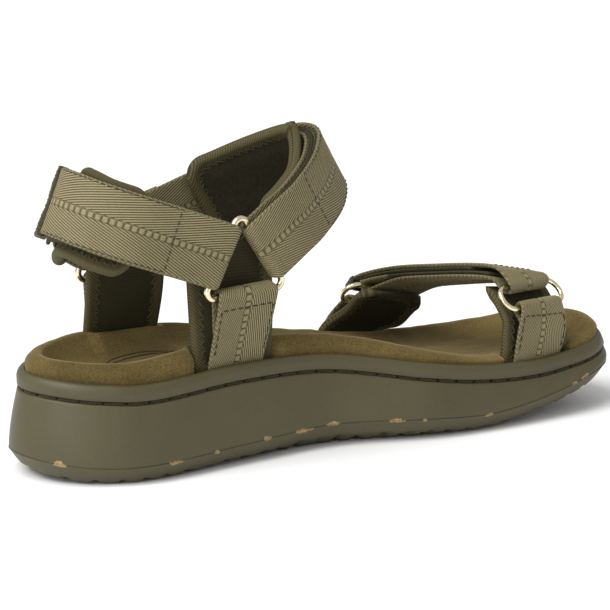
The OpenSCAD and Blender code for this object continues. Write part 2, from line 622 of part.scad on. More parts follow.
/* Rings */
module triangular_ring(centre) {
    color(ring_colour)
        translate(centre)
            rotate([90, 0, 0])
                for (k = [0 : 2])
                    rotate([0, 0, RING_TILT + 120 * k]) {
                        translate([0, -ANKLE_BAR_OUT, 0])
                            rotate([0, 90, 0])
                                cylinder(d = ankle_wire, h = BAR_LENGTH + 0.2, center = true,
                                    $fn = 24);
                        translate([-BAR_LENGTH / 2, ANKLE_CORNER - ANKLE_BAR_OUT, 0])
                            rotate([0, 0, 150])
                                rotate_extrude(angle = 120, $fn = 36)
                                    translate([ANKLE_CORNER, 0])
                                        circle(d = ankle_wire + 0.04, $fn = 24);
                    }
}
module oblong_ring(high, bar, up) {
    half = TOE_BARS_APART / 2;
    out = cross(bar, up);
    middle = high - half * up;
    color(ring_colour)
        multmatrix([
            [bar[0], up[0], out[0], middle[0]],
            [bar[1], up[1], out[1], middle[1]],
            [bar[2], up[2], out[2], middle[2]],
            [0, 0, 0, 1]])
            for (turn = [0, 180])
                rotate([0, 0, turn]) {
                    translate([0, -half, 0])
                        rotate([0, 90, 0])
                            cylinder(d = toe_wire, h = BAR_LENGTH, center = true, $fn = 24);
                    translate([BAR_LENGTH / 2, 0, 0])
                        rotate([0, 0, -90])
                            rotate_extrude(angle = 180, $fn = 36)
                                translate([half, 0])
                                    circle(d = toe_wire, $fn = 24);
                }
}
module medial_ankle_ring() {
    triangular_ring(MEDIAL_RING);
}
module lateral_ankle_ring() {
    triangular_ring(LATERAL_RING);
}
module medial_toe_ring() {
    oblong_ring(MEDIAL_TOE_HIGH, MEDIAL_TOE_BAR, MEDIAL_TOE_UP);
}
module lateral_toe_ring() {
    oblong_ring(LATERAL_TOE_HIGH, LATERAL_TOE_BAR, LATERAL_TOE_UP);
}

/* Straps */
module strap_pad(path, edges, span) {
    top = strap_top(ankle_gap) + webbing_thick + BOND;
    color(lining_colour)
        ribbon(edged(path, edges), pad_width, -top - pad_thick, -top, span);
}
module loop_tape(path, span, gap) {
    color("#5c5640")
        ribbon(path, webbing_width - 2, -strap_top(gap) + BOND, -loop_top(gap), span);
}
module hook_tape(path, span, gap) {
    color("#3f3a28")
        ribbon(path, webbing_width - 2, -webbing_thick - hook_thick(gap), -webbing_thick - BOND,
            span);
}
module flap_webbing(path, first, gap, turn) {
    color(webbing_colour)
        ribbon(flap_path(path, first, gap, turn), webbing_width, -webbing_thick, 0);
}
module heel_pad() {
    strap_pad(HEEL_PATH, HEEL_PAD_EDGES, HEEL_PAD_SPAN);
}
module heel_strap_webbing() {
    color(webbing_colour)
        webbing(ankle_strap_path(HEEL_PATH, HEEL_BARS, REAR_OUT, in_plane(REAR_BAR)));
}
module heel_loop_tape() {
    loop_tape(HEEL_PATH, HEEL_LOOP_SPAN, ankle_gap);
}
module heel_flap_webbing() {
    flap_webbing(HEEL_PATH, HEEL_FLAP_START, ankle_gap, ankle_turn);
}
module heel_hook_tape() {
    hook_tape(HEEL_PATH, HEEL_HOOK_SPAN, ankle_gap);
}
module instep_pad() {
    strap_pad(INSTEP_PATH, INSTEP_PAD_EDGES, INSTEP_PAD_SPAN);
}
module instep_strap_webbing() {
    color(webbing_colour)
        webbing(ankle_strap_path(INSTEP_PATH, INSTEP_BARS, FRONT_OUT, in_plane(FRONT_BAR)));
}
module instep_loop_tape() {
    loop_tape(INSTEP_PATH, INSTEP_LOOP_SPAN, ankle_gap);
}
module instep_flap_webbing() {
    flap_webbing(INSTEP_PATH, INSTEP_FLAP_START, ankle_gap, ankle_turn);
}
module instep_hook_tape() {
    hook_tape(INSTEP_PATH, INSTEP_HOOK_SPAN, ankle_gap);
}
module toe_strap_webbing() {
    strap = part_of(TOE_PATH, TOE_RING_POINT, len(TOE_PATH) - 1);
    outer_depth = flap_over_turn - toe_turn;
    inner_depth = flap_over_turn + toe_turn;
    lowered = settled(strap, inner_depth, strap_middle(toe_gap), 8);
    leg = return_leg(strap, outer_depth, strap_top(toe_gap) - webbing_thick / 2 - 0.1);
    color(webbing_colour)
        webbing(concat(leg,
            turn_path(LATERAL_TOE_HIGH, LATERAL_TOE_BAR, LATERAL_TOE_OUT, LATERAL_TOE_UP,
                toe_turn),
            part_of(lowered, 1, len(lowered) - 2),
            turn_path(MEDIAL_TOE_HIGH, MEDIAL_TOE_BAR, -MEDIAL_TOE_OUT, MEDIAL_TOE_UP,
                toe_turn)));
}
module toe_loop_tape() {
    loop_tape(TOE_PATH, TOE_LOOP_SPAN, toe_gap);
}
module toe_flap_webbing() {
    color(webbing_colour)
        ribbon(TOE_PATH, webbing_width, -webbing_thick, 0, TOE_FLAP_SPAN);
}
module toe_hook_tape() {
    hook_tape(TOE_PATH, TOE_HOOK_SPAN, toe_gap);
}

outsole();
midsole();
rim_band();
groove_stitching();
insole_board();
footbed_core();
footbed_cover();
medial_ankle_lining();
medial_ankle_webbing();
lateral_ankle_lining();
lateral_ankle_webbing();
medial_ankle_ring();
lateral_ankle_ring();
heel_pad();
heel_strap_webbing();
heel_loop_tape();
heel_flap_webbing();
heel_hook_tape();
instep_pad();
instep_strap_webbing();
instep_loop_tape();
instep_flap_webbing();
instep_hook_tape();
medial_toe_lining();
medial_toe_tab();
medial_toe_ring();
lateral_toe_lining();
lateral_toe_tab();
lateral_toe_ring();
toe_strap_webbing();
toe_loop_tape();
toe_flap_webbing();
toe_hook_tape();
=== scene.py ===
"""Looks of the strappy sport sandal: webbing, neoprene pads, suede footbed, moulded sole and rings."""

import math

import bpy
import numpy as np
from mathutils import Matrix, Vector
from mathutils.bvhtree import BVHTree


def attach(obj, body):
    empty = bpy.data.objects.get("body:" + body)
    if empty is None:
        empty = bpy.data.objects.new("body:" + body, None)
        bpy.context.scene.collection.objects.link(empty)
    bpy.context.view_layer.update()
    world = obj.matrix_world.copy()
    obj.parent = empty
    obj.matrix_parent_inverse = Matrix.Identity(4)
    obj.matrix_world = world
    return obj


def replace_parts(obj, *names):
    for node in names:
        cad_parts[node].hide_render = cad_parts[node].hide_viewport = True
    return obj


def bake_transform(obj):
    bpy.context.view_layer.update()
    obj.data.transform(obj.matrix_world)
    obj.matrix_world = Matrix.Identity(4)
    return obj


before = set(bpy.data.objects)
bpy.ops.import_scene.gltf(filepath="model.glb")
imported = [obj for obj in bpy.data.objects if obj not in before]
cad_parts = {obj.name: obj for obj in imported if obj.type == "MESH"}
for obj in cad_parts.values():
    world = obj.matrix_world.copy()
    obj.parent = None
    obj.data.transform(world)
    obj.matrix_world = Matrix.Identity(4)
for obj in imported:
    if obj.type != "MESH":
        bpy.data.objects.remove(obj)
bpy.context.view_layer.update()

MM = 0.001
BODY = "sole_and_side_straps"

# ---------------------------------------------------------------------------------------------
# The design's own sizes, in millimetres: the straps' knots and the sole's rows, as in the CAD
# ---------------------------------------------------------------------------------------------
WEB_WIDTH, WEB_THICK = 26.0, 1.5
PAD_WIDTH, PAD_THICK = 38.0, 5.0
LINING_THICK = 3.4
ANKLE_WIRE, TOE_WIRE = 2.6, 2.2
ANKLE_SLACK, TOE_SLACK = 0.8, 0.6
ANKLE_GAP, TOE_GAP = ANKLE_WIRE + 2 * ANKLE_SLACK, TOE_WIRE + 2 * TOE_SLACK
ANKLE_TURN = ANKLE_WIRE / 2 + ANKLE_SLACK + WEB_THICK / 2
TOE_TURN = TOE_WIRE / 2 + TOE_SLACK + WEB_THICK / 2
TAPE_ROOM, HOOK_SHARE, GATHERED = 0.3, 0.45, 0.1
BAR_LENGTH, ANKLE_CORNER = 26.5, 3.0
ANKLE_BAR_OUT = BAR_LENGTH / (2 * math.sqrt(3)) + ANKLE_CORNER
TILT = 3.7
SIDE_LEAN, PARTING, RIM_HEIGHT = 4.0, 6.5, 6.6
BOARD_THICK, FOOTBED_INSET, TREAD_INSET = 2.0, 3.2, 6.0

# The sole's outline and levels, from the heel tip to the toe tip. Each row holds
# [x, medial y, lateral y, medial groove z, lateral groove z, lower edge z, tread z].
SOLE = [
    [-40, -2.5, -2.5, 33, 33, 3.5, 3],
    [-34, -18.5, 13.5, 32.4, 33, 2, 1.4],
    [-20, -29.5, 25.5, 31, 33.3, 0.5, 0],
    [0, -34.5, 33, 30.2, 33.5, 0.5, 0],
    [40, -30, 37, 32, 32, 1.8, 0],
    [80, -27, 40, 30.5, 25.5, 3.2, 0],
    [120, -37.5, 44, 24, 20.5, 2.2, 0],
    [150, -39, 44, 20, 18.5, 1, 0],
    [180, -37, 41, 18.8, 18.6, 4.6, 4],
    [203, -33.5, 30, 21.5, 21.5, 9.6, 9.2],
    [217, -24.5, 13, 25.3, 25.3, 12.4, 12],
    [222, -7, -7, 27, 27, 13.2, 13],
]
# Height of the footbed's edge over the rim: [x, medial, lateral]
EDGE_HEIGHT = [[-40, 5.5, 5.5], [20, 9, 6], [85, 7, 5], [150, 2.5, 2.5], [222, 3, 3]]
# Depth of the footbed's dish along x
DISH_DEPTH = [[-40, 7], [0, 9], [60, 7], [110, 4.5], [222, 3.5]]


def unit(v):
    v = np.asarray(v, float)
    return v / np.linalg.norm(v)


def in_plane(angle):
    return np.array([math.cos(math.radians(angle)), 0, math.sin(math.radians(angle))])


def square_to(v, w):
    v = np.asarray(v, float)
    return unit(v - (v @ w) * w)


MEDIAL_RING, LATERAL_RING = np.array([39.8, -30, 76.7]), np.array([15.5, 30, 77.0])
BOTTOM_BAR, REAR_BAR, FRONT_BAR = TILT, TILT + 60, TILT - 60
BOTTOM_OUT, REAR_OUT, FRONT_OUT = TILT - 90, TILT + 150, TILT + 30
TOE_APART = 11.0
MT_HIGH, MT_UP = np.array([178.0, -24, 55]), unit([-0.14, 0.65, 0.76])
MT_BAR = square_to([0.976, 0.1, -0.19], MT_UP)
MT_OUT = np.cross(MT_BAR, MT_UP)
MT_LOW = MT_HIGH - TOE_APART * MT_UP
LT_HIGH, LT_UP = np.array([145.0, 31, 46.5]), unit([0.3, -0.65, 0.69])
LT_BAR = square_to([0.96, 0.1, -0.25], LT_UP)
LT_OUT = np.cross(LT_UP, LT_BAR)
LT_LOW = LT_HIGH - TOE_APART * LT_UP


def ankle_bar(centre, angle):
    return centre + ANKLE_BAR_OUT * in_plane(angle)


def hook_thick(gap):
    return HOOK_SHARE * (gap - TAPE_ROOM)


def loop_top(gap):
    return WEB_THICK + hook_thick(gap) + TAPE_ROOM


def bar_depth(gap):
    return WEB_THICK + gap / 2


def knot(point, way):
    return [*point, *way]


def bar_knots(bar, side, gap, way, away):
    """The knot on a bar and the one past it that sets the strap's direction there."""
    on = np.asarray(bar) + bar_depth(gap) * np.asarray(side)
    return knot(on, way), knot(on - 12 * np.asarray(away), way)


HEEL_BARS = [ankle_bar(LATERAL_RING, REAR_OUT), ankle_bar(MEDIAL_RING, REAR_OUT)]
INSTEP_BARS = [ankle_bar(LATERAL_RING, FRONT_OUT), ankle_bar(MEDIAL_RING, FRONT_OUT)]
rear, front = in_plane(REAR_BAR), in_plane(FRONT_BAR)
# Each strap's knots: x, y, z and the way across the strap
h0, h0p = bar_knots(HEEL_BARS[0], [0, 1, 0], ANKLE_GAP, rear, in_plane(REAR_OUT))
h1, h1p = bar_knots(HEEL_BARS[1], [0, -1, 0], ANKLE_GAP, rear, in_plane(REAR_OUT))
HEEL_KNOTS = [
    h0p,
    h0,
    [-7, 28, 89, 0.42, -0.06, 0.9],
    [-17.5, 16.5, 97, 0.38, -0.1, 0.92],
    [-24, 3, 102.8, 0.36, -0.04, 0.93],
    [-24.5, -9, 103, 0.36, 0.02, 0.93],
    [-18.5, -21.5, 100, 0.38, 0.06, 0.92],
    [-5, -30, 94.7, 0.4, 0.05, 0.91],
    [12, -33, 88.3, 0.42, 0.02, 0.9],
    h1,
    h1p,
]
i0, i0p = bar_knots(INSTEP_BARS[0], [0, 1, 0], ANKLE_GAP, front, in_plane(FRONT_OUT))
i1, i1p = bar_knots(INSTEP_BARS[1], [0, -1, 0], ANKLE_GAP, front, in_plane(FRONT_OUT))
INSTEP_KNOTS = [
    i0p,
    i0,
    [45, 35, 90.5, 0.52, 0.02, -0.85],
    [65, 33, 98.5, 0.5, 0.08, -0.86],
    [81, 25, 107.5, 0.52, 0.16, -0.84],
    [93, 12, 113.5, 0.52, 0.16, -0.84],
    [96, -3, 113, 0.52, 0.06, -0.85],
    [88.5, -15, 105, 0.53, -0.02, -0.85],
    [73, -26, 96, 0.53, 0, -0.85],
    [60, -31.8, 89.8, 0.54, 0, -0.84],
    i1,
    i1p,
]
TOE_TURN_TOP = TOE_TURN + WEB_THICK / 2
FLAP_OVER_TURN = TOE_TURN_TOP + TAPE_ROOM + hook_thick(TOE_GAP) + WEB_THICK
t1, t1p = bar_knots(MT_HIGH, MT_OUT, TOE_GAP, MT_BAR, MT_UP)
TOE_KNOTS = [
    [143, 44, 42, 0.96, 0.1, -0.25],
    [144, 39.3, 47, 0.96, 0.1, -0.25],
    knot(LT_HIGH + FLAP_OVER_TURN * LT_OUT, LT_BAR),
    [152, 20, 56.5, 0.94, 0.22, -0.26],
    [161, 4, 59.5, 0.94, 0.24, -0.24],
    [170, -11, 61.5, 0.95, 0.2, -0.22],
    [176, -21, 61, 0.96, 0.14, -0.2],
    t1,
    t1p,
]
# Knots, counted as in the lists above, where the layers begin and end
STEPS = 24
HEEL_PAD = (1.5, 38 / 6)
HEEL_PAD_RISE = 3.0
HEEL_FLAP = 3.0
HEEL_HOOK = (17 / 6, 7.0)
HEEL_LOOP = (15 / 6, 43 / 6)
INSTEP_PAD = (8 / 6, 49 / 6)
INSTEP_EASE = (29 / 6, 39 / 6)
INSTEP_FLAP = 23 / 6
INSTEP_HOOK = (22 / 6, 40 / 6)
INSTEP_LOOP = (19 / 6, 44 / 6)
TOE_RING_AT = 1.0
TOE_HOOK = (0.0, 4.0)
TOE_LOOP = (11 / 6, 28 / 6)

# Side straps: x of the root, side, lining width
MEDIAL_ANKLE, LATERAL_ANKLE = (38.5, -1, 37.0), (16.2, 1, 34.0)
MEDIAL_TOE, LATERAL_TOE = (178.0, -1, 35.0), (130.5, 1, 35.0)
ROOM, ROOT_LIFT, ROOT_GAP, ROOT_LEAN = 0.4, 1.7, 0.45, 0.3
LINING_BEND, LINING_SHOULDER, LINING_TOP, LEG_END = (61.0, 22.6), (81.0, 20.5), (91.0, 19.5), 52.0


# ---------------------------------------------------------------------------------------------
# Curves and straps
# ---------------------------------------------------------------------------------------------
def curve(knots, steps):
    """A smooth curve from the second knot to the last but one."""
    k = np.array(knots, float)
    out = []
    for i in range(1, len(k) - 2):
        a, b, c, d = k[i - 1 : i + 3]
        t = (np.arange(steps) / steps)[:, None]
        square, cube = 2 * a - 5 * b + 4 * c - d, 3 * b - a - 3 * c + d
        out.append(0.5 * (2 * b + (c - a) * t + square * t**2 + cube * t**3))
    return np.vstack([*out, k[-2:-1]])


def unit_rows(a):
    return a / np.maximum(np.linalg.norm(a, axis=1, keepdims=True), 1e-9)


def lengths(points):
    """Length along a line of points, at each of them."""
    return np.concatenate([[0], np.cumsum(np.linalg.norm(np.diff(points, axis=0), axis=1))])


def sample(points, length, at):
    """A line's columns, read at other lengths."""
    return np.column_stack([np.interp(at, length, points[:, c]) for c in range(points.shape[1])])


def smooth_rows(a, radius):
    """A moving average that repeats the two ends."""
    wide = np.vstack([np.repeat(a[:1], radius, 0), a, np.repeat(a[-1:], radius, 0)])
    kernel = np.ones(2 * radius + 1) / (2 * radius + 1)
    return np.column_stack([np.convolve(column, kernel, "valid") for column in wide.T])


def normals(p, w):
    return unit_rows(np.cross(np.gradient(p, axis=0), w))


def lift(path, height):
    """A path of points and width ways, moved along its own normals; height may vary."""
    p, w = path[:, :3], path[:, 3:]
    return np.hstack([p + np.reshape(height, (-1, 1)) * normals(p, w), w])


def turn(middle, bar, side, away, radius, steps=40):
    """Half a turn round a bar, gathered a little at its middle."""
    a = np.radians(np.linspace(0, 180, steps + 1))[:, None]
    p = middle + radius * (np.cos(a) * np.asarray(side) - np.sin(a) * np.asarray(away))
    return np.hstack([p, (1 - GATHERED * np.sin(a) ** 2) * np.asarray(bar)])


class Strap:
    """A strap's middle surface, sampled evenly along its length s, in millimetres."""

    def __init__(self, path, step=0.4):
        length = lengths(path[:, :3])
        keep = np.concatenate([[True], np.diff(length) > 1e-6])
        length, path = length[keep], path[keep]
        self.length = length[-1]
        self.s = np.linspace(0, self.length, int(self.length / step) + 1)
        at = sample(path, length, self.s)
        self.p = smooth_rows(at[:, :3], 1)
        self.share = np.linalg.norm(at[:, 3:], axis=1)
        self.w = unit_rows(at[:, 3:])
        self.n = unit_rows(smooth_rows(normals(self.p, self.w), 2))

    def nearest(self, point):
        """The length s at which the strap passes closest to a point."""
        return self.s[np.argmin(np.linalg.norm(self.p - np.asarray(point), axis=1))]

    def at(self, s, u, h):
        """Points at length s, u across and h along the normal, all arrays of one shape."""
        s = np.asarray(s, float)

        def read(a):
            return np.stack([np.interp(s, self.s, a[:, c]) for c in range(3)], -1)

        share = np.interp(s, self.s, self.share)[..., None]
        across = read(self.w) * share * np.asarray(u, float)[..., None]
        return read(self.p) + across + read(self.n) * np.asarray(h, float)[..., None]


# ---------------------------------------------------------------------------------------------
# Meshes
# ---------------------------------------------------------------------------------------------
def make(name, points, faces, material, body, slot, attributes=None):
    """An object from points in millimetres."""
    mesh = bpy.data.meshes.new(name)
    mesh.from_pydata((np.asarray(points) * MM).tolist(), [], faces)
    for key, values in (attributes or {}).items():
        values = np.asarray(values, np.float32)
        kind = "FLOAT" if values.ndim == 1 else "FLOAT_VECTOR"
        layer = mesh.attributes.new(key, kind, "POINT")
        layer.data.foreach_set("value" if values.ndim == 1 else "vector", values.ravel())
    mesh.materials.append(material)
    mesh.validate()
    mesh.shade_smooth()
    obj = bpy.data.objects.new(name, mesh)
    bpy.context.scene.collection.objects.link(obj)
    if isinstance(body, str):
        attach(obj, body)
    return obj


def grid_faces(rows, columns, first=0, flip=False):
    """Quads of a grid of rows by columns points."""
    i, j = np.meshgrid(np.arange(rows - 1), np.arange(columns - 1), indexing="ij")
    a = first + (i * columns + j).ravel()
    quads = np.column_stack([a, a + 1, a + columns + 1, a + columns])
    return (quads[:, ::-1] if flip else quads).tolist()


def two_faced(top, bottom):
    """A closed solid from two grids whose long edges meet. Returns points and faces."""
    rows, columns = top.shape[:2]
    count = rows * columns
    points = np.vstack([top.reshape(-1, 3), bottom.reshape(-1, 3)])
    faces = grid_faces(rows, columns) + grid_faces(rows, columns, count, True)
    ring = []
    for row in (0, rows - 1):
        for k in range(columns - 1):
            a, b = row * columns + k, row * columns + k + 1
            quad = [a, a + count, b + count, b]
            ring.append(quad[::-1] if row else quad)
    for col in (0, columns - 1):
        for r in range(rows - 1):
            a, b = r * columns + col, (r + 1) * columns + col
            quad = [b, b + count, a + count, a]
            ring.append(quad[::-1] if col else quad)
    return points, faces + ring


def smoothstep(a, b, x):
    t = np.clip((np.asarray(x, float) - a) / (b - a), 0, 1)
    return t * t * (3 - 2 * t)


def wobble(s, seed, scale):
    """A gentle random wave along s, from -1 to 1."""
    phases = 6.3 * np.random.default_rng(seed).random(6)[1::2]
    return sum(np.sin(s / scale * f + phase) / f for f, phase in zip((1.0, 1.7, 2.9), phases)) / 1.6


# Woven relief: slanting ribs either side of a ladder of flat rungs, and braided edges
RIB_ACROSS, RIB_ALONG, RIB_HIGH = 0.96, 2.9, 0.19
RUNG_PITCH, RUNG_HALF, RUNG_HIGH = 2.8, 1.05, 0.12
LADDER_HALF, SELVAGE = 1.45, 0.75


def weave(u, s, way):
    """Height and shade of the weave at u across and s along; the shade is painted shade in the valleys and
    painted highlight on the tops. way is the ribs' slant, 1 or -1.
    """
    a = np.abs(u)
    edge = WEB_WIDTH / 2 - a
    bend = 0.05 * np.sin(s / 9.0 + np.sign(u)) * a / 3
    wave = 0.5 + 0.5 * np.cos(2 * np.pi * (a / RIB_ACROSS + way * s / RIB_ALONG + bend))
    rib = smoothstep(0.0, 0.75, wave)
    turns = 2 * np.pi * s / RUNG_PITCH
    rung = smoothstep(0.0, 0.42, 0.5 + 0.5 * np.cos(turns))
    rung = rung * (1 - smoothstep(RUNG_HALF - 0.2, RUNG_HALF + 0.1, a))
    post = np.exp(-(((a - RUNG_HALF - 0.12) / 0.2) ** 2)) * (0.5 + 0.5 * np.cos(turns + np.pi * (u > 0)))
    ladder = 1 - smoothstep(LADDER_HALF - 0.15, LADDER_HALF + 0.15, a)
    braid = 0.5 + 0.5 * np.cos(2 * np.pi * (s / 1.9 + edge / 1.5))
    selvage = 1 - smoothstep(SELVAGE - 0.2, SELVAGE + 0.15, edge)
    middle = np.maximum(0.15 + 0.7 * rung, 0.75 * post)
    high = RIB_HIGH * rib * (1 - ladder) + RUNG_HIGH * middle * ladder
    high = high * (1 - selvage) + 0.16 * braid * selvage
    # The shade follows the relief: painted shade in the valleys, painted highlight on the ribs, rungs and
    # braid
    shade = rib * (1 - ladder) + middle * ladder
    shade = shade * (1 - selvage) + (0.3 + 0.5 * braid) * selvage
    return high, shade


def webbing(name, strap, s0, s1, body, way=1, seed=0, replaces=(), row=0.4):
    """A woven strap between two lengths of a Strap, with relief on both faces."""
    rows = max(2, int(round((s1 - s0) / row)) + 1)
    half = WEB_WIDTH / 2
    edge = np.array([0, 0.06, 0.18, 0.38])
    middle = np.linspace(-half + 0.62, half - 0.62, 117)
    u = np.concatenate([-half + edge, middle, (half - edge)[::-1]])
    S, U = np.meshgrid(np.linspace(s0, s1, rows), u, indexing="ij")
    body_half = (WEB_THICK / 2 - 0.12) * (1 - np.clip(np.abs(U) / half, 0, 1) ** 26) ** 0.5
    fade = 1 - smoothstep(half - 0.35, half, np.abs(U))
    to_end = np.minimum(S - strap.s[0], strap.s[-1] - S)
    curl = 0.16 * wobble(S, seed, 14.0) * (np.abs(U) / half) ** 2 * smoothstep(0, 9, to_end)
    faces_at, shades = [], []
    for sign in (1, -1):
        high, shade = weave(U, S, way * sign)
        faces_at.append(strap.at(S, U, sign * (body_half + high * fade * 0.9) + curl))
        shades.append(shade.ravel())
    points, faces = two_faced(*faces_at)
    coords = np.column_stack([U.ravel(), S.ravel(), np.zeros(U.size)])
    obj = make(name, points, faces, MAT["webbing"], body, "webbing",
               {"shade": np.concatenate(shades), "strap": np.vstack([coords, coords])})
    if replaces:
        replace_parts(obj, *replaces)
    return obj


def outline_distance(x, y, half_long, half_wide, r0, r1):
    """Distance inside a rounded rectangle, with corner radius r0 at its start and r1 at its end."""
    r = np.where(x < 0, r0, r1)
    qx, qy = np.abs(x) - (half_long - r), np.abs(y) - (half_wide - r)
    outside = np.hypot(np.maximum(qx, 0), np.maximum(qy, 0))
    return -(outside + np.minimum(np.maximum(qx, qy), 0) - r)


ROLL = 5.0


def pad_thickness(d, thick, crown=0.94, groove=0.62, roll=ROLL):
    """Thickness at distance d inside the outline: rolled edge, stitched channel, soft middle."""
    radius = thick / 2
    rolled = thick * np.sqrt(np.clip(1 - (1 - np.clip(d / radius, 0, 1)) ** 2, 0, 1))
    down = smoothstep(radius * 0.9, roll, d)
    up = smoothstep(roll, roll + 6, d)
    return rolled * (1 - (1 - groove) * down + (crown - groove) * up * down)


# How near the outline a pad's edge is sampled
NEAR = np.array([0, 0.05, 0.2, 0.45, 0.8, 1.2, 1.7, 2.2, 2.8, 3.4, 4.0])
# Each pad's outline and faces, by name, for the stitches that lie on it
PADS = {}


def pad(name, strap, s0, s1, width, top, thick, body, r0, r1, seed, replaces, open_start=False,
        crown=0.94, edges=None, ribbed=False):
    """A neoprene piece with a rolled, bound edge. top is its upper height over the strap."""
    half_long, half_wide, mid = (s1 - s0) / 2, width / 2, (s0 + s1) / 2
    # An open start has no edge there, because its outline goes on past it
    beyond = 50 if open_start else 0

    def inside(x, y):
        """Distance inside the pad's outline."""
        d = outline_distance(x - beyond, y, half_long + beyond, half_wide, 1 if open_start else r0, r1)
        return np.maximum(d, 0)

    def place(sv, uv):
        """Where a point of the plain outline lies across the strap."""
        if edges is None:
            return uv
        plus, minus = edges(sv)
        return (plus - minus) / 2 + uv * (plus + minus) / width

    inner = np.linspace(4.6, half_wide, max(6, int((half_wide - 4.6) / 0.62)))
    e = np.concatenate([NEAR, inner])
    v = np.concatenate([-(half_wide - e), (half_wide - e[:-1])[::-1]]) / half_wide
    start = -half_long if open_start else 4.5 - half_long
    x = np.linspace(start, half_long - 4.5, int((s1 - s0 - 9) / 0.55))
    x = np.concatenate([[] if open_start else NEAR - half_long, x, (half_long - NEAR)[::-1]])
    X, V = np.meshgrid(x, v, indexing="ij")
    # The rows get shorter round the corners
    r = np.where(x < 0, 0.01 if open_start else r0, r1)
    into = np.clip(np.abs(x) - (half_long - r), 0, r)
    w = half_wide - r + np.sqrt(np.maximum(r**2 - into**2, 0))
    Y = V * np.where(np.abs(x) > half_long - r, w, half_wide)[:, None]
    S = mid + X
    d = inside(X, Y)
    t = pad_thickness(d, thick, crown)
    waves = np.sin(S / 7.3 + seed) * np.cos(Y / 5.1 + seed * 2) + 0.6 * np.sin(S / 3.9 - Y / 6 + seed)
    soft = 0.16 * thick / 5 * waves * smoothstep(1.5, 8, d)
    # Twill on the bound edge, and ribs on the face of a side strap's lining; their shade is painted shade,
    # darker in the valleys and lighter on top
    twill = 0.5 + 0.5 * np.cos(2 * np.pi * (S * 0.72 + Y * 0.62) / 0.95)
    cloth = 1 - smoothstep(ROLL - 0.8, ROLL + 0.6, d)
    ridge = 0.07 * twill * cloth * smoothstep(0.15, 0.9, d)
    shade = twill * cloth
    if ribbed:
        ribs = (0.5 + 0.5 * np.cos(2 * np.pi * S / 1.25)) * (1 - cloth)
        ridge = ridge + 0.09 * ribs
        shade = np.maximum(shade, 0.35 * ribs)
        cloth = np.maximum(cloth, 0.6 * (1 - cloth))
    centre = top - thick / 2
    tops = strap.at(S, place(S, Y), centre + t / 2 + ridge + soft * 0.35)
    bottoms = strap.at(S, place(S, Y), centre - t / 2 - ridge - soft)
    points, faces = two_faced(tops, bottoms)
    coords = np.column_stack([Y.ravel(), S.ravel(), d.ravel()])
    obj = make(name, points, faces, MAT["neoprene"], body, "neoprene", {
        "shade": np.tile(shade.ravel(), 2),
        "strap": np.vstack([coords, coords]),
        "cloth": np.tile(cloth.ravel(), 2),
    })
    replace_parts(obj, *replaces)

    def height(sv, uv, side):
        """Height of the pad's face over the strap, for thread that lies on it."""
        return centre + side * pad_thickness(inside(sv - mid, uv), thick, crown) / 2

    PADS[name] = {"strap": strap, "s0": s0, "s1": s1, "width": width, "r0": r0, "r1": r1,
                  "height": height, "open": open_start, "body": body, "place": place}


def outline(info, inset, step):
    """Points (s, u) round a pad at a distance inside its outline."""
    s0, s1, half = info["s0"] + inset, info["s1"] - inset, info["width"] / 2 - inset
    r0, r1 = max(info["r0"] - inset, 0.5), max(info["r1"] - inset, 0.5)

    def corner(s, u, r, start):
        a = np.radians(np.linspace(start, start + 90, 8))
        return np.column_stack([s + r * np.cos(a), u + r * np.sin(a)])

    far = [corner(s1 - r1, r1 - half, r1, 270), corner(s1 - r1, half - r1, r1, 0)]
    if info["open"]:
        pts = np.vstack([[[info["s0"], -half]], *far, [[info["s0"], half]]])
    else:
        near = corner(s0 + r0, r0 - half, r0, 180)
        pts = np.vstack([near, *far, corner(s0 + r0, half - r0, r0, 90), near[:1]])
    length = lengths(pts)
    keep = np.concatenate([[True], np.diff(length) > 1e-6])
    pts, length = pts[keep], length[keep]
    return sample(pts, length, np.linspace(0, length[-1], max(4, int(length[-1] / step)) + 1))


def tubes(name, lines, radius, material, body, slot, sides=6):
    """Thin tubes along many polylines, in one object."""
    points, faces = [], []
    angles = np.linspace(0, 2 * np.pi, sides, endpoint=False)[None, :, None]
    first = 0
    for line in lines:
        line = np.asarray(line, float)
        n = len(line)
        t = unit_rows(np.gradient(line, axis=0))
        a = unit_rows(np.cross(t, [0.3, 0.5, 0.81]))
        b = np.cross(t, a)
        size = np.full(n, radius)
        size[0] = size[-1] = radius * 0.55
        round_it = np.cos(angles) * a[:, None, :] + np.sin(angles) * b[:, None, :]
        points.append((line[:, None, :] + size[:, None, None] * round_it).reshape(-1, 3))
        for r in range(n - 1):
            for k in range(sides):
                p, q = first + r * sides + k, first + r * sides + (k + 1) % sides
                faces.append([p, q, q + sides, p + sides])
        faces.append([first + k for k in range(sides)][::-1])
        faces.append([first + (n - 1) * sides + k for k in range(sides)])
        first += n * sides
    return make(name, np.vstack(points), faces, material, body, slot)


def zigzag(info, side, inset, amplitude, pitch):
    """Zigzag stitches round a pad on one face."""
    edges = [outline(info, inset + offset, pitch / 2) for offset in (-amplitude / 2, amplitude / 2)]
    n = min(len(edge) for edge in edges)
    a, b = (edge[np.round(np.linspace(0, len(edge) - 1, n)).astype(int)] for edge in edges)
    lines = []
    for k in range(n - 1):
        p, q = (a[k], b[k + 1]) if k % 2 == 0 else (b[k], a[k + 1])
        s, u = (p + (q - p) * np.linspace(0, 1, 5)[:, None]).T
        h = info["height"](s, u, side) + side * ZIGZAG_ARCH
        lines.append(info["strap"].at(s, info["place"](s, u), h))
    return lines


# Heights along one stitch, which dives into the strap at both ends
ZIGZAG_ARCH = np.array([-0.25, 0.1, 0.2, 0.1, -0.25])
STITCH_ARCH = np.array([-0.3, 0.02, 0.1, 0.02, -0.3])
STITCH_HALF, STITCH_HIGH = WEB_WIDTH / 2 - 1.6, WEB_THICK / 2 + 0.12


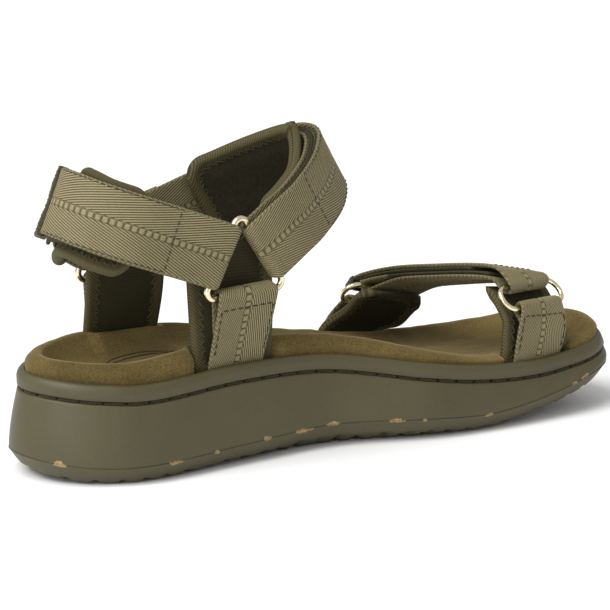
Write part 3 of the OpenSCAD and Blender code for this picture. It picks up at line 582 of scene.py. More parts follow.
def stitches(strap, start, end, side, pitch):
    """Lock stitches on a strap along a straight line between two points (s, u)."""
    start, end = np.array(start), np.array(end)
    count = max(1, int(round(np.abs(end - start).max() / pitch)))
    lines = []
    for k in range(count):
        t = np.linspace(k + 0.06, k + 0.94, 5)[:, None] / count
        s, u = (start + (end - start) * t).T
        lines.append(strap.at(s, u, side * (STITCH_HIGH + STITCH_ARCH)))
    return lines


def stitch_row(strap, s, side=1, pitch=3.0, slant=0.0):
    """A row of stitches across a strap."""
    return stitches(strap, (s, -STITCH_HALF), (s + slant * 2 * STITCH_HALF, STITCH_HALF), side, pitch)


def stitch_sides(strap, s0, s1, half=STITCH_HALF, side=1, pitch=3.0):
    """A row of stitches along each edge of a strap."""
    return [line for u in (-half, half) for line in stitches(strap, (s0, u), (s1, u), side, pitch)]


# ---------------------------------------------------------------------------------------------
# Materials
# ---------------------------------------------------------------------------------------------
def grey(value):
    return (value, value, value)


class Shader:
    """A procedural material, and the few kinds of node that the materials are made of."""

    def __init__(self, name):
        self.material = bpy.data.materials.new(name)
        self.material.use_nodes = True
        self.nodes, self.links = self.material.node_tree.nodes, self.material.node_tree.links
        self.surface = self.nodes["Principled BSDF"]

    def put(self, node, socket, value):
        """Sets a node's socket to a value, or links another node's output to it."""
        if isinstance(value, bpy.types.NodeSocket):
            self.links.new(value, node.inputs[socket])
        else:
            node.inputs[socket].default_value = value

    def surface_of(self, colour, roughness, specular=0.5, metallic=0.0):
        for socket, value in (("Base Color", colour), ("Roughness", roughness),
                              ("Specular IOR Level", specular), ("Metallic", metallic)):
            self.put(self.surface, socket, value)

    def sheen(self, weight, roughness, tint):
        for socket, value in (("Weight", weight), ("Roughness", roughness), ("Tint", (*tint, 1))):
            self.put(self.surface, f"Sheen {socket}", value)

    def ramp(self, source, *stops):
        node = self.nodes.new("ShaderNodeValToRGB")
        elements = node.color_ramp.elements
        while len(elements) < len(stops):
            elements.new(0.5)
        for element, (at, colour) in zip(elements, stops):
            element.position = at
            element.color = (*colour, 1)
        self.links.new(source, node.inputs[0])
        return node.outputs[0]

    def mix(self, factor, a, b, blend="MIX"):
        node = self.nodes.new("ShaderNodeMix")
        node.data_type = "RGBA"
        node.blend_type = blend
        for socket, value in ((0, factor), (6, a), (7, b)):
            self.put(node, socket, value)
        return node.outputs[2]

    def multiply(self, a, b):
        return self.mix(1.0, a, b, "MULTIPLY")

    def maths(self, operation, a, b):
        node = self.nodes.new("ShaderNodeMath")
        node.operation = operation
        self.put(node, 0, a)
        self.put(node, 1, b)
        return node.outputs[0]

    def noise(self, scale, detail, roughness, vector=None, stretch=None):
        node = self.nodes.new("ShaderNodeTexNoise")
        for socket, value in (("Scale", scale), ("Detail", detail), ("Roughness", roughness)):
            self.put(node, socket, value)
        if vector is None:
            vector = self.nodes.new("ShaderNodeTexCoord").outputs["Object"]
        if stretch is not None:
            mapping = self.nodes.new("ShaderNodeMapping")
            self.put(mapping, "Scale", stretch)
            self.put(mapping, 0, vector)
            vector = mapping.outputs[0]
        self.put(node, "Vector", vector)
        return node.outputs["Fac"]

    def bump(self, height, strength, distance):
        node = self.nodes.new("ShaderNodeBump")
        for socket, value in (("Height", height), ("Strength", strength), ("Distance", distance)):
            self.put(node, socket, value)
        self.put(self.surface, "Normal", node.outputs[0])

    def attribute(self, name, output="Fac"):
        node = self.nodes.new("ShaderNodeAttribute")
        node.attribute_name = name
        return node.outputs[output]


def webbing_material():
    shader = Shader("woven_webbing")
    strap = shader.attribute("strap", "Vector")
    # Painted shade and highlight: the shade attribute makes the weave's valleys dark and its ribs light
    base = shader.ramp(shader.attribute("shade"), (0.0, (0.024, 0.020, 0.008)),
                       (0.45, (0.135, 0.112, 0.054)), (1.0, (0.310, 0.264, 0.142)))
    # Fine yarns across the strap: a noise that paints short highlights on each rib, and sets its roughness
    # and bump
    yarn_and_glint = shader.noise(1.0, 2.0, 0.5, strap, (1.1, 5.5, 1.0))
    base = shader.multiply(base, shader.ramp(yarn_and_glint, (0.35, grey(0.72)), (0.68, (1.16, 1.15, 1.12))))
    cloud = shader.noise(0.05, 3.0, 0.6, strap)
    base = shader.multiply(base, shader.ramp(cloud, (0.3, (0.9, 0.9, 0.88)), (0.7, (1.06, 1.06, 1.05))))
    shader.surface_of(base, shader.ramp(yarn_and_glint, (0.3, grey(0.78)), (0.7, grey(0.6))), 0.35)
    shader.sheen(0.08, 0.45, (0.7, 0.62, 0.4))
    shader.bump(yarn_and_glint, 0.35, 0.00012)
    return shader.material


def neoprene_material():
    shader = Shader("bound_neoprene")
    face = shader.noise(900.0, 3.0, 0.6)
    dark = shader.ramp(face, (0.3, (0.016, 0.014, 0.006)), (0.75, (0.034, 0.030, 0.013)))
    # Painted shade: the shade attribute darkens the valleys of the twill and ribs on the knit and lightens
    # their tops
    shaded_knit = shader.ramp(shader.attribute("shade"), (0.0, (0.030, 0.026, 0.010)),
                       (0.45, (0.070, 0.059, 0.024)), (1.0, (0.125, 0.105, 0.048)))
    fibre = shader.noise(2600.0, 2.0, 0.5)
    shaded_knit = shader.multiply(shaded_knit, shader.ramp(fibre, (0.3, grey(0.75)), (0.7, grey(1.2))))
    shader.surface_of(shader.mix(shader.attribute("cloth"), dark, shaded_knit), 0.86, 0.25)
    shader.sheen(0.12, 0.4, (0.5, 0.45, 0.28))
    shader.bump(shader.maths("ADD", face, shader.maths("MULTIPLY", fibre, 0.5)), 0.3, 0.00015)
    return shader.material


def foam_material():
    shader = Shader("moulded_foam")
    fine = shader.noise(1500.0, 3.0, 0.6)
    cloud = shader.noise(28.0, 4.0, 0.6)
    base = shader.ramp(cloud, (0.3, (0.064, 0.055, 0.023)), (0.7, (0.078, 0.067, 0.029)))
    base = shader.multiply(base, shader.ramp(fine, (0.3, grey(0.9)), (0.7, grey(1.07))))
    # Scuffs of raw tan foam along the moulding line
    torn = shader.noise(420.0, 5.0, 0.65)
    mask = shader.maths("ADD", shader.attribute("fleck"), shader.maths("MULTIPLY", torn, 0.9))
    mask = shader.ramp(mask, (0.90, grey(0)), (0.955, grey(1)))
    tan = shader.ramp(torn, (0.35, (0.20, 0.13, 0.048)), (0.65, (0.36, 0.255, 0.11)))
    rough = shader.ramp(cloud, (0.3, grey(0.46)), (0.7, grey(0.56)))
    shader.surface_of(shader.mix(mask, base, tan), rough, 0.42)
    shader.bump(fine, 0.12, 0.0001)
    return shader.material


def suede_material():
    shader = Shader("brushed_suede")
    nap = shader.noise(16.0, 5.0, 0.62, None, (1.0, 1.5, 1.0))
    grain = shader.noise(1700.0, 3.0, 0.7)
    base = shader.ramp(nap, (0.28, (0.066, 0.047, 0.015)), (0.5, (0.108, 0.078, 0.027)),
                       (0.74, (0.168, 0.122, 0.043)))
    speck = shader.ramp(grain, (0.3, (0.52, 0.52, 0.5)), (0.7, (1.45, 1.44, 1.38)))
    shader.surface_of(shader.multiply(base, speck), 0.95, 0.15)
    shader.sheen(0.55, 0.35, (0.72, 0.58, 0.3))
    shader.bump(grain, 0.5, 0.0003)
    return shader.material


def gold_material():
    shader = Shader("pale_gold")
    scratch = shader.noise(700.0, 3.0, 0.6, None, (1.0, 1.0, 6.0))
    colour = shader.ramp(scratch, (0.3, (0.80, 0.68, 0.44)), (0.7, (0.90, 0.80, 0.58)))
    shader.surface_of(colour, shader.ramp(scratch, (0.3, grey(0.16)), (0.7, grey(0.26))), metallic=1.0)
    shader.bump(scratch, 0.08, 0.00005)
    return shader.material


def fibre_material(name, dark, light, scale, roughness=0.9, sheen=0.3):
    shader = Shader(name)
    fibre = shader.noise(scale, 4.0, 0.65)
    shader.surface_of(shader.ramp(fibre, (0.3, dark), (0.7, light)), roughness, 0.2)
    shader.sheen(sheen, 0.5, (0.5, 0.45, 0.28))
    shader.bump(fibre, 0.5, 0.0002)
    return shader.material


MAT = {
    "webbing": webbing_material(),
    "neoprene": neoprene_material(),
    "foam": foam_material(),
    "suede": suede_material(),
    "gold": gold_material(),
    "thread": fibre_material("dark_thread", (0.012, 0.011, 0.007), (0.04, 0.036, 0.022), 2500.0),
    "zigzag": fibre_material("zigzag_thread", (0.045, 0.039, 0.019), (0.12, 0.103, 0.055), 2500.0),
    "hook": fibre_material("hook_face", (0.016, 0.014, 0.008), (0.07, 0.062, 0.036), 1800.0, 0.95),
    "loop": fibre_material("loop_face", (0.024, 0.021, 0.01), (0.075, 0.065, 0.033), 1500.0, 0.95, 0.15),
    "board": fibre_material("fibre_board", (0.2, 0.16, 0.09), (0.34, 0.28, 0.17), 900.0),
}


# ---------------------------------------------------------------------------------------------
# Sole
# ---------------------------------------------------------------------------------------------
SOLE_FINE = 16


def swap(row):
    return [row[0], row[2], row[1], row[4], row[3], row[5], row[6]]


ROWS = curve([swap(SOLE[1]), *SOLE, swap(SOLE[-2])], SOLE_FINE)
SIDE_N = len(ROWS) - 1
RING_N = 2 * SIDE_N
SIDE_INDEX = np.array([i if i <= SIDE_N else RING_N - i for i in range(RING_N)])
LATERAL = np.arange(RING_N) <= SIDE_N
OUT_X = ROWS[SIDE_INDEX, 0]
OUT_Y = np.where(LATERAL, ROWS[SIDE_INDEX, 2], ROWS[SIDE_INDEX, 1])
GROOVE_Z = np.where(LATERAL, ROWS[SIDE_INDEX, 4], ROWS[SIDE_INDEX, 3])
LOWER_Z = ROWS[SIDE_INDEX, 5]
TREAD_Z = np.maximum(0, ROWS[SIDE_INDEX, 6])
EDGE_X, EDGE_MEDIAL, EDGE_LATERAL = np.transpose(EDGE_HEIGHT)
EDGE = np.where(LATERAL, np.interp(OUT_X, EDGE_X, EDGE_LATERAL), np.interp(OUT_X, EDGE_X, EDGE_MEDIAL))


def round_smooth(a, times):
    for _ in range(times):
        a = 0.25 * np.roll(a, 1) + 0.5 * a + 0.25 * np.roll(a, -1)
    return a


EDGE = round_smooth(EDGE, 60)
TREAD_Z = np.where(TREAD_Z > 0, round_smooth(TREAD_Z, 4), TREAD_Z)
DX = np.roll(OUT_X, -1) - np.roll(OUT_X, 1)
DY = np.roll(OUT_Y, -1) - np.roll(OUT_Y, 1)
DLEN = np.hypot(DX, DY)
NX, NY = -DY / DLEN, DX / DLEN
LEVEL = {"tread": TREAD_Z, "lower": LOWER_Z, "groove": GROOVE_Z, "rim": GROOVE_Z + RIM_HEIGHT}
# Round the toe the wall stands more upright than along the sides, and the rim leans in over it
TOE_UPRIGHT = 2.6 * smoothstep(188, 214, OUT_X)
TOE_LEAN = 3.6 * smoothstep(188, 214, OUT_X)


def ring(distance, level, height, share=0.0):
    """Outline points moved out by a distance, at a level plus a height."""
    z = LEVEL[level] + height + share * EDGE
    if level in ("groove", "rim"):
        distance = distance + TOE_UPRIGHT
    return np.column_stack([OUT_X + distance * NX, OUT_Y + distance * NY, z * np.ones(RING_N)])


def side_y(x, side):
    return float(np.interp(x, ROWS[:, 0], ROWS[:, 1 if side < 0 else 2]))


def groove_at(x, side):
    return float(np.interp(x, ROWS[:, 0], ROWS[:, 3 if side < 0 else 4]))


def rings_solid(rings, closed_band=False):
    """Points and faces of rings joined one after another."""
    count = len(rings)
    faces = []
    last = count if closed_band else count - 1
    for r in range(last):
        a, b = r * RING_N, ((r + 1) % count) * RING_N
        for i in range(RING_N):
            j = (i + 1) % RING_N
            faces.append([a + i, b + i, b + j, a + j])
    return np.vstack(rings), faces


def cap_grid(edge, columns, bend=lambda points, share: points):
    """A grid across a ring of points. bend changes the points of each column."""
    left, right = edge[1:SIDE_N], edge[RING_N - np.arange(1, SIDE_N)]
    cols = [bend(left + (right - left) * k / columns, k / columns) for k in range(1, columns)]
    return np.stack(cols, 1).reshape(-1, 3)


def cap_faces(columns, first_ring, first_grid, up):
    """Faces that join a ring's two sides by the grid between them."""

    def index(i, k):
        if k == 0 or i in (0, SIDE_N):
            return first_ring + i
        if k == columns:
            return first_ring + RING_N - i
        return first_grid + (i - 1) * (columns - 1) + k - 1

    faces = []
    for i in range(SIDE_N):
        for k in range(columns):
            quad = [index(i, k), index(i + 1, k), index(i + 1, k + 1), index(i, k + 1)]
            if i == 0:
                quad = quad[:3]
            elif i == SIDE_N - 1:
                quad = [quad[0], quad[1], quad[3]]
            faces.append(quad if up else quad[::-1])
    return faces


def closed_faces(faces, rings):
    """The faces of a tube of rings, with its two ends closed."""
    return faces + cap_faces(1, 0, 0, True) + cap_faces(1, (len(rings) - 1) * RING_N, 0, False)


def fleck_field(points):
    """How near each point is to one of the scuffs along the moulding line."""
    x = points[:, 0]
    dz = points[:, 2] - np.interp(x, ROWS[:, 0], ROWS[:, 5]) - PARTING
    value = np.zeros(len(points))
    lateral = points[:, 1] > side_middle(x)
    for at, long, high, up, side in SCUFFS:
        near = ((x - at) / long) ** 2 + ((dz - up) / high) ** 2
        hit = np.where(lateral == (side > 0), np.exp(-near * 0.9), 0)
        value = np.maximum(value, hit)
    return 0.72 * value


def side_middle(x):
    return np.interp(x, ROWS[:, 0], (ROWS[:, 1] + ROWS[:, 2]) / 2)


# Scuffs: x, half length, half height, height over the moulding line, side
SCUFFS = [
    (-35, 2.6, 1.6, 0, -1),
    (6, 4.6, 1.3, -0.3, -1),
    (24, 2.2, 1, -0.1, -1),
    (49, 2.6, 1.5, 0.5, -1),
    (66, 5.6, 1.5, -0.3, -1),
    (80, 5, 1.1, 0.4, -1),
    (105, 4.6, 1.2, 0.1, -1),
    (117, 2.4, 1, -0.3, -1),
    (147, 3, 1.1, -0.2, -1),
    (193, 2.8, 1.1, -0.1, -1),
    (200, 3.4, 1.3, 0.3, -1),
    (10, 3.6, 1.3, -0.1, 1),
    (52, 4.8, 1.4, 0, 1),
    (96, 2.6, 1.1, 0.3, 1),
    (133, 5, 1.4, -0.2, 1),
    (176, 3.2, 1.2, 0.1, 1),
]
# The tread's bars and its three shallow channels
TREAD_START, TREAD_PITCH, TREAD_WIDE, TREAD_DEEP = -31.5, 9.0, 2.0, 1.4
CHANNELS, CHANNEL_DEEP = (-14.0, 0.0, 14.0), 0.7
TREAD_COLUMNS, FOOTBED_COLUMNS = 28, 56


def sole_piece(name, points, faces, slot, node, flecks=True):
    field = fleck_field(points) if flecks else np.zeros(len(points))
    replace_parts(make(name, points, faces, MAT["foam"], BODY, slot, {"fleck": field}), node)


def build_outsole():
    """The outsole, with a rounded lower lip and tread bars."""
    rings = [
        ring(-TREAD_INSET, "tread", 0),
        ring(-3.4, "tread", 0.02) * [1, 1, 0.45] + ring(-3.4, "lower", 0) * [0, 0, 0.55],
        ring(-1.3, "lower", 0.0),
        ring(-0.35, "lower", 0.45),
        ring(0.35, "lower", 1.3),
        ring(1.2, "lower", 2.4),
        ring(2.1, "lower", 3.7),
        ring(3.1, "lower", 5.2),
        ring(SIDE_LEAN - 0.3, "lower", PARTING - 0.45),
        ring(SIDE_LEAN - 0.06, "lower", PARTING - 0.16),
        ring(SIDE_LEAN - 0.35, "lower", PARTING),
        ring(-2, "lower", PARTING),
    ]
    points, faces = rings_solid(rings)
    grid = cap_grid(rings[0], TREAD_COLUMNS)
    faces += cap_faces(TREAD_COLUMNS, 0, len(points), True)
    faces += cap_faces(1, (len(rings) - 1) * RING_N, 0, False)
    # How deep the bars cut into each ring and into the grid
    under = np.concatenate([np.repeat([1, 1, 1, 0.75] + [0] * (len(rings) - 4), RING_N), np.ones(len(grid))])
    points = np.vstack([points, grid])
    along = (points[:, 0] - TREAD_START + TREAD_PITCH / 2) % TREAD_PITCH
    bars = np.abs(along - TREAD_PITCH / 2)
    cut = 1 - smoothstep(TREAD_WIDE / 2 - 0.3, TREAD_WIDE / 2 + 0.45, bars)
    points[:, 2] += TREAD_DEEP * cut * under
    for offset in CHANNELS:
        near = np.abs(points[:, 1] - side_middle(points[:, 0]) - offset)
        low = (under == 1) * (points[:, 2] < 14)
        points[:, 2] += CHANNEL_DEEP * (1 - smoothstep(0.5, 1.3, near)) * low
    sole_piece("outsole_tread", points, faces, "rubber_sole", "outsole")


def build_midsole():
    """The wall, with a soft bulge and a rolled lip under the groove."""
    wall = [ring(-2, "lower", PARTING), ring(SIDE_LEAN - 0.4, "lower", PARTING)]
    bottom = ring(SIDE_LEAN, "lower", PARTING + 0.3)
    high = ring(0.3, "groove", -1.7)
    for t in np.linspace(0, 1, 23):
        p = bottom + (high - bottom) * t
        swell = 0.45 * math.sin(math.pi * t) - 0.25 * (1 - t) ** 8
        p[:, 0] += swell * NX
        p[:, 1] += swell * NY
        wall.append(p)
    lip = [(0.22, -1.15), (-0.1, -0.8), (-0.8, -0.62), (-1.5, -0.45), (-1.7, 0.0), (-FOOTBED_INSET, 0.0)]
    wall += [ring(distance, "groove", height) for distance, height in lip]
    points, faces = rings_solid(wall)
    sole_piece("midsole_wall", points, closed_faces(faces, wall), "foam", "midsole")


def build_rim():
    """A rounded band over the groove, with its own lip."""
    profile = [(-3, 0.0), (-1.7, 0.0), (-1.5, 0.4), (-0.8, 0.55), (-0.15, 0.7), (0.22, 1.05)]
    for a in np.radians(8 + 82 * np.linspace(0, 1, 13)):
        profile.append((-2.55 + 2.85 * math.cos(a) ** 0.75, 3.3 + (RIM_HEIGHT - 3.3) * math.sin(a)))
    profile += [(-2.85, RIM_HEIGHT - 0.05), (-3.0, RIM_HEIGHT - 0.4)]
    rings = [ring(d - TOE_LEAN * (max(z - 0.8, 0) / RIM_HEIGHT) ** 1.3, "groove", z) for d, z in profile]
    sole_piece("rim_roll", *rings_solid(rings, True), "foam", "rim_band", flecks=False)


def build_board():
    """The lasting board, seen only as a thin edge."""
    rings = [ring(-FOOTBED_INSET, "groove", height) for height in (0, BOARD_THICK)]
    points, faces = rings_solid(rings)
    board = make("lasting_board", points, closed_faces(faces, rings), MAT["board"], BODY, "board")
    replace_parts(board, "insole_board")


# The groove's thread: length of a stitch, length of a twist and radius of each of its plies
THREAD_STITCH, THREAD_TWIST, THREAD_PLY = 8.6, 2.6, 0.4


def build_groove_thread():
    """Long stitches of two-ply thread that lie in the groove all round."""
    closed = np.vstack([ring(-0.62, "groove", 0.05)] * 2)[: RING_N + 1]
    outward = np.column_stack([NX, NY, 0 * NX])[np.arange(RING_N + 1) % RING_N]
    length = lengths(closed)
    count = int(length[-1] / THREAD_STITCH)
    arch = np.sin(np.linspace(0, np.pi, 15)) ** 0.4
    lines = []
    for k in range(count):
        t = np.linspace(k + 0.05, k + 0.95, 15) / count * length[-1]
        for ply in (0, 1):
            twist = 2 * np.pi * t / THREAD_TWIST + ply * np.pi
            p = sample(closed, length, t)
            p += sample(outward, length, t) * (0.42 * arch - 0.45 + 0.3 * np.cos(twist))[:, None]
            p[:, 2] += 0.3 * np.sin(twist)
            lines.append(p)
    obj = tubes("groove_thread", lines, THREAD_PLY, MAT["thread"], BODY, "thread")
    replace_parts(obj, "groove_stitching")


def strap_notch():
    """How far the footbed's edge is pressed in behind each side strap, for every outline point."""
    value = np.zeros(RING_N)
    for (x, side, width), depth in (
        (MEDIAL_ANKLE, 6.4), (LATERAL_ANKLE, 8.2), (MEDIAL_TOE, 5.6), (LATERAL_TOE, 5.6)
    ):
        near = np.abs(OUT_X - x)
        mask = (1 - smoothstep(width / 2 - 0.2, width / 2 + 1.0, near)) * (LATERAL == (side > 0))
        value = np.maximum(value, depth * mask)
    return value


def dish(points, share):
    """Sinks the middle of the footbed."""
    points = points.copy()
    span = np.interp(points[:, 0], ROWS[:, 0], ROWS[:, 2] - ROWS[:, 1]) - 2 * FOOTBED_INSET - 10
    to_side = np.maximum(span, 1) * min(share, 1 - share)
    to_tip = np.minimum(points[:, 0] + 32, 214 - points[:, 0])
    near = 1 - np.minimum(1, np.maximum(np.minimum(to_side, to_tip), 0) / 20)
    depth = np.interp(points[:, 0], *np.transpose(DISH_DEPTH))
    points[:, 2] -= depth * (1 - near * near) * smoothstep(0, 0.2, 1 - near + 0.15)
    return points


def build_footbed():
    notch = strap_notch()

    def edge_ring(inset, level, height, share, follow=1.0):
        p = ring(0, level, height, share)
        d = inset + notch * follow
        return np.column_stack([p[:, 0] - d * NX, p[:, 1] - d * NY, p[:, 2]])

    rings = [
        edge_ring(FOOTBED_INSET, "groove", BOARD_THICK, 0),
        edge_ring(FOOTBED_INSET, "rim", -1.0, 0),
        edge_ring(FOOTBED_INSET - 0.15, "rim", 0.2, 0.1),
        edge_ring(FOOTBED_INSET - 0.25, "rim", 0.2, 0.32),
    ]
    for a in np.radians(np.linspace(8, 90, 10)):
        inset = FOOTBED_INSET - 0.25 + 4.6 * (1 - math.cos(a)) ** 0.9
        rings.append(edge_ring(inset, "rim", 0.0, 0.36 + 0.64 * math.sin(a), 1 - 0.25 * math.sin(a)))
    rings.append(edge_ring(FOOTBED_INSET + 6.0, "rim", -0.05, 1.0, 0.55))
    points, faces = rings_solid(rings)
    faces += cap_faces(FOOTBED_COLUMNS, (len(rings) - 1) * RING_N, len(points), False)
    faces += cap_faces(1, 0, 0, True)
    points = np.vstack([points, cap_grid(rings[-1], FOOTBED_COLUMNS, dish)])
    obj = make("suede_footbed", points, faces, MAT["suede"], BODY, "suede")
    texture = bpy.data.textures.new("suede_lumps", "CLOUDS")
    texture.noise_scale = 0.009
    texture.noise_depth = 3
    lumps = obj.modifiers.new("lumps", "DISPLACE")
    lumps.texture = texture
    lumps.texture_coords = "LOCAL"
    lumps.strength = 0.0006
    lumps.mid_level = 0.5
    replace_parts(obj, "footbed_cover", "footbed_core")
    return obj


def build_print(footbed):
    """A plain outlined oval printed on the heel of the footbed."""
    tree = BVHTree.FromObject(footbed, bpy.context.evaluated_depsgraph_get())
    turn_by = math.radians(8)
    lines = []
    for long, wide in ((23.0, 11.0), (20.6, 8.6)):
        a = np.linspace(0, 2 * np.pi, 90)
        x, y = long * np.cos(a), wide * np.sin(a)
        px = 12.0 + x * math.cos(turn_by) - y * math.sin(turn_by)
        py = -1.0 + x * math.sin(turn_by) + y * math.cos(turn_by)
        line = []
        for u, v in zip(px, py):
            hit = tree.ray_cast(Vector((u * MM, v * MM, 0.08)), Vector((0, 0, -1)))[0]
            line.append([u, v, hit.z / MM + 0.05])
        lines.append(np.array(line))
    tubes("heel_oval", lines, 0.26, MAT["thread"], BODY, "suede")


# ---------------------------------------------------------------------------------------------
# Straps
# ---------------------------------------------------------------------------------------------
def leg_back(path, first_depth, last_depth, count):
    """The leg that comes back from the fixed ring and meets the strap's outer face."""
    t = np.arange(1, count + 1)
    share = 0.5 - 0.5 * np.cos(np.pi * t / count)
    n = normals(path[:, :3], path[:, 3:])
    depth = (first_depth + (last_depth - first_depth) * share)[:, None]
    return np.hstack([path[t, :3] - depth * n[t], path[t, 3:]])[::-1]


def path_index(knots_from_start):
    return int(round(knots_from_start * STEPS))


def ankle_strap(knots, bars, out_angle, way):
    """The whole of an ankle strap: return leg, fixed turn, strap, turn and flap."""
    path = curve(knots, STEPS)
    path[:, 3:] = unit_rows(path[:, 3:])
    gap_top = WEB_THICK + ANKLE_GAP
    count = path_index(5 / 6)
    leg = leg_back(path, WEB_THICK / 2, gap_top - WEB_THICK / 2 - 0.1, count)
    first = turn(bars[0], in_plane(way), [0, 1, 0], in_plane(out_angle), ANKLE_TURN)
    inner = lift(path, -(WEB_THICK * 1.5 + ANKLE_GAP))
    last = turn(bars[1], in_plane(way), [0, 1, 0], in_plane(out_angle), ANKLE_TURN)
    flap = lift(path, -WEB_THICK / 2)[::-1]
    whole = Strap(np.vstack([leg, first[1:-1], inner[1:-1], last, flap[1:]]))
    return path, whole, last


# Length over which a tape that is set to one side comes back to the middle
TAPE_STRAIGHTENS = 46.0


def layer(name, outer, s0, s1, low, high, body, mat, slot, seed, node, shift=0.0):
    """A tape bonded between two layers, with a rough pile face and torn edges."""
    rows = int((s1 - s0) / 0.5) + 1
    s = np.linspace(s0, s1, rows)
    half = (WEB_WIDTH - 1) / 2
    u = np.linspace(-half, half, 64)
    S, U = np.meshgrid(s, u, indexing="ij")
    rng = np.random.default_rng(seed)
    rough = np.abs(rng.normal(0, 0.12, S.shape)) * 0.5
    edge = np.abs(U) / half
    body_half = (high - low) / 2 * (1 - edge**18) ** 0.5
    mid = (high + low) / 2
    spread = 1 + 0.012 * rng.normal(0, 1, S.shape) * (edge > 0.97)
    across = U * spread + shift * (1 - smoothstep(s0 + 6, s0 + TAPE_STRAIGHTENS, S))
    top = outer.at(S, across, mid + body_half - rough)
    bottom = outer.at(S, across, mid - body_half + rough)
    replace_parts(make(name, *two_faced(top, bottom), mat, body, slot), node)


def s_of(outer, path, knots_from_start):
    """The length on the outer strap at a place counted in knots."""
    return outer.nearest(path[path_index(knots_from_start), :3])


def build_ankle_strap(tag, knots, bars, out_angle, way, spans, seed, slant):
    body, flap_body = f"{tag}_strap", f"{tag}_flap"
    path, whole, last = ankle_strap(knots, bars, out_angle, way)
    outer = Strap(path)
    s_a, s_b = whole.nearest(last[0, :3]), whole.nearest(last[-1, :3])
    # The strap passes the same place twice, so the flap's end is looked for past the turn
    after = whole.s > s_b
    target = lift(path, -WEB_THICK / 2)[path_index(spans["flap"]), :3]
    flap_end = whole.s[after][np.argmin(np.linalg.norm(whole.p[after] - target, axis=1))]
    webbing(f"{tag}_webbing", whole, 0, s_a, body, slant, seed, [f"{tag}_strap_webbing"], row=0.46)
    fold = webbing(f"{tag}_fold", whole, s_a, s_b + 2.6, None, slant, seed)
    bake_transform(fold)
    webbing(f"{tag}_flap_web", whole, s_b + 2.6, flap_end, flap_body, slant, seed, [f"{tag}_flap_webbing"])
    top = -(2 * WEB_THICK + ANKLE_GAP) - 0.12
    s0, s1 = s_of(outer, path, spans["pad"][0]), s_of(outer, path, spans["pad"][1])
    pad(f"{tag}_cushion", outer, s0, s1, PAD_WIDTH, top, PAD_THICK, body, 11, 11, seed,
        [f"{tag}_pad"], edges=spans["edges"](outer, path))
    layer(
        f"{tag}_loop", outer, s_of(outer, path, spans["loop"][0]), s_of(outer, path, spans["loop"][1]),
        -(WEB_THICK + ANKLE_GAP) + 0.05, -loop_top(ANKLE_GAP), body, MAT["loop"], "loop_tape",
        seed + 1, f"{tag}_loop_tape", spans["shift"],
    )
    layer(
        f"{tag}_hook", outer, s_of(outer, path, spans["hook"][0]), s_of(outer, path, spans["hook"][1]),
        -WEB_THICK - hook_thick(ANKLE_GAP), -WEB_THICK - 0.05, flap_body, MAT["hook"], "hook_tape",
        seed + 2, f"{tag}_hook_tape", spans["shift"] * 0.7,
    )
    return whole, s_b, flap_end


def heel_edges(outer, path):
    """The heel pad stands out less above its strap than below it."""
    return lambda s: (PAD_WIDTH / 2 - HEEL_PAD_RISE, PAD_WIDTH / 2)


def instep_edges(outer, path):
    """The instep pad narrows to its strap's width towards the medial ring."""
    a, b = (s_of(outer, path, k) for k in INSTEP_EASE)
    drop = (PAD_WIDTH - WEB_WIDTH) / 2

    def edge(s):
        return PAD_WIDTH / 2 - drop * smoothstep(a, b, s)

    return lambda s: (edge(s), edge(s))


# Where each strap's parts lie, how far its tapes are set to one side, its cross seam on the flap
# (length past the ring and slant), the end of its fixed end's seam, and its binding's size
HEEL_SPANS = {
    "pad": HEEL_PAD, "flap": HEEL_FLAP, "hook": HEEL_HOOK, "loop": HEEL_LOOP, "edges": heel_edges,
    "shift": -2.4, "cross": (22.5, 0.06), "fixed": 9.0, "binding": (5, 5.6, 2.2),
}
INSTEP_SPANS = {
    "pad": INSTEP_PAD, "flap": INSTEP_FLAP, "hook": INSTEP_HOOK, "loop": INSTEP_LOOP, "edges": instep_edges,
    "shift": 0.6, "cross": (34.0, -0.05), "fixed": 12.0, "binding": (6, 0.6, 1.2),
}


def build_ankle_straps():
    for tag, knots, bars, out_angle, way, spans, seed, slant in (
        ("heel", HEEL_KNOTS, HEEL_BARS, REAR_OUT, REAR_BAR, HEEL_SPANS, 3, -1),
        ("instep", INSTEP_KNOTS, INSTEP_BARS, FRONT_OUT, FRONT_BAR, INSTEP_SPANS, 8, 1),
    ):
        whole, s_b, s_end = build_ankle_strap(tag, knots, bars, out_angle, way, spans, seed, slant)
        cross = s_b + spans["cross"][0]
        rows = stitch_row(whole, cross, -1, 3.0, spans["cross"][1])
        rows += stitch_sides(whole, cross, s_end - 4, STITCH_HALF + 0.7, -1, 2.6)
        tubes(f"{tag}_flap_stitches", rows, 0.16, MAT["thread"], f"{tag}_flap", "thread")
        rows = stitch_row(whole, 3.0) + stitch_row(whole, spans["fixed"])
        rows += stitch_sides(whole, 3.0, spans["fixed"])
        tubes(f"{tag}_strap_stitches", rows, 0.24, MAT["thread"], f"{tag}_strap", "thread")
        binding(f"{tag}_binding", whole, s_end, f"{tag}_flap", *spans["binding"])


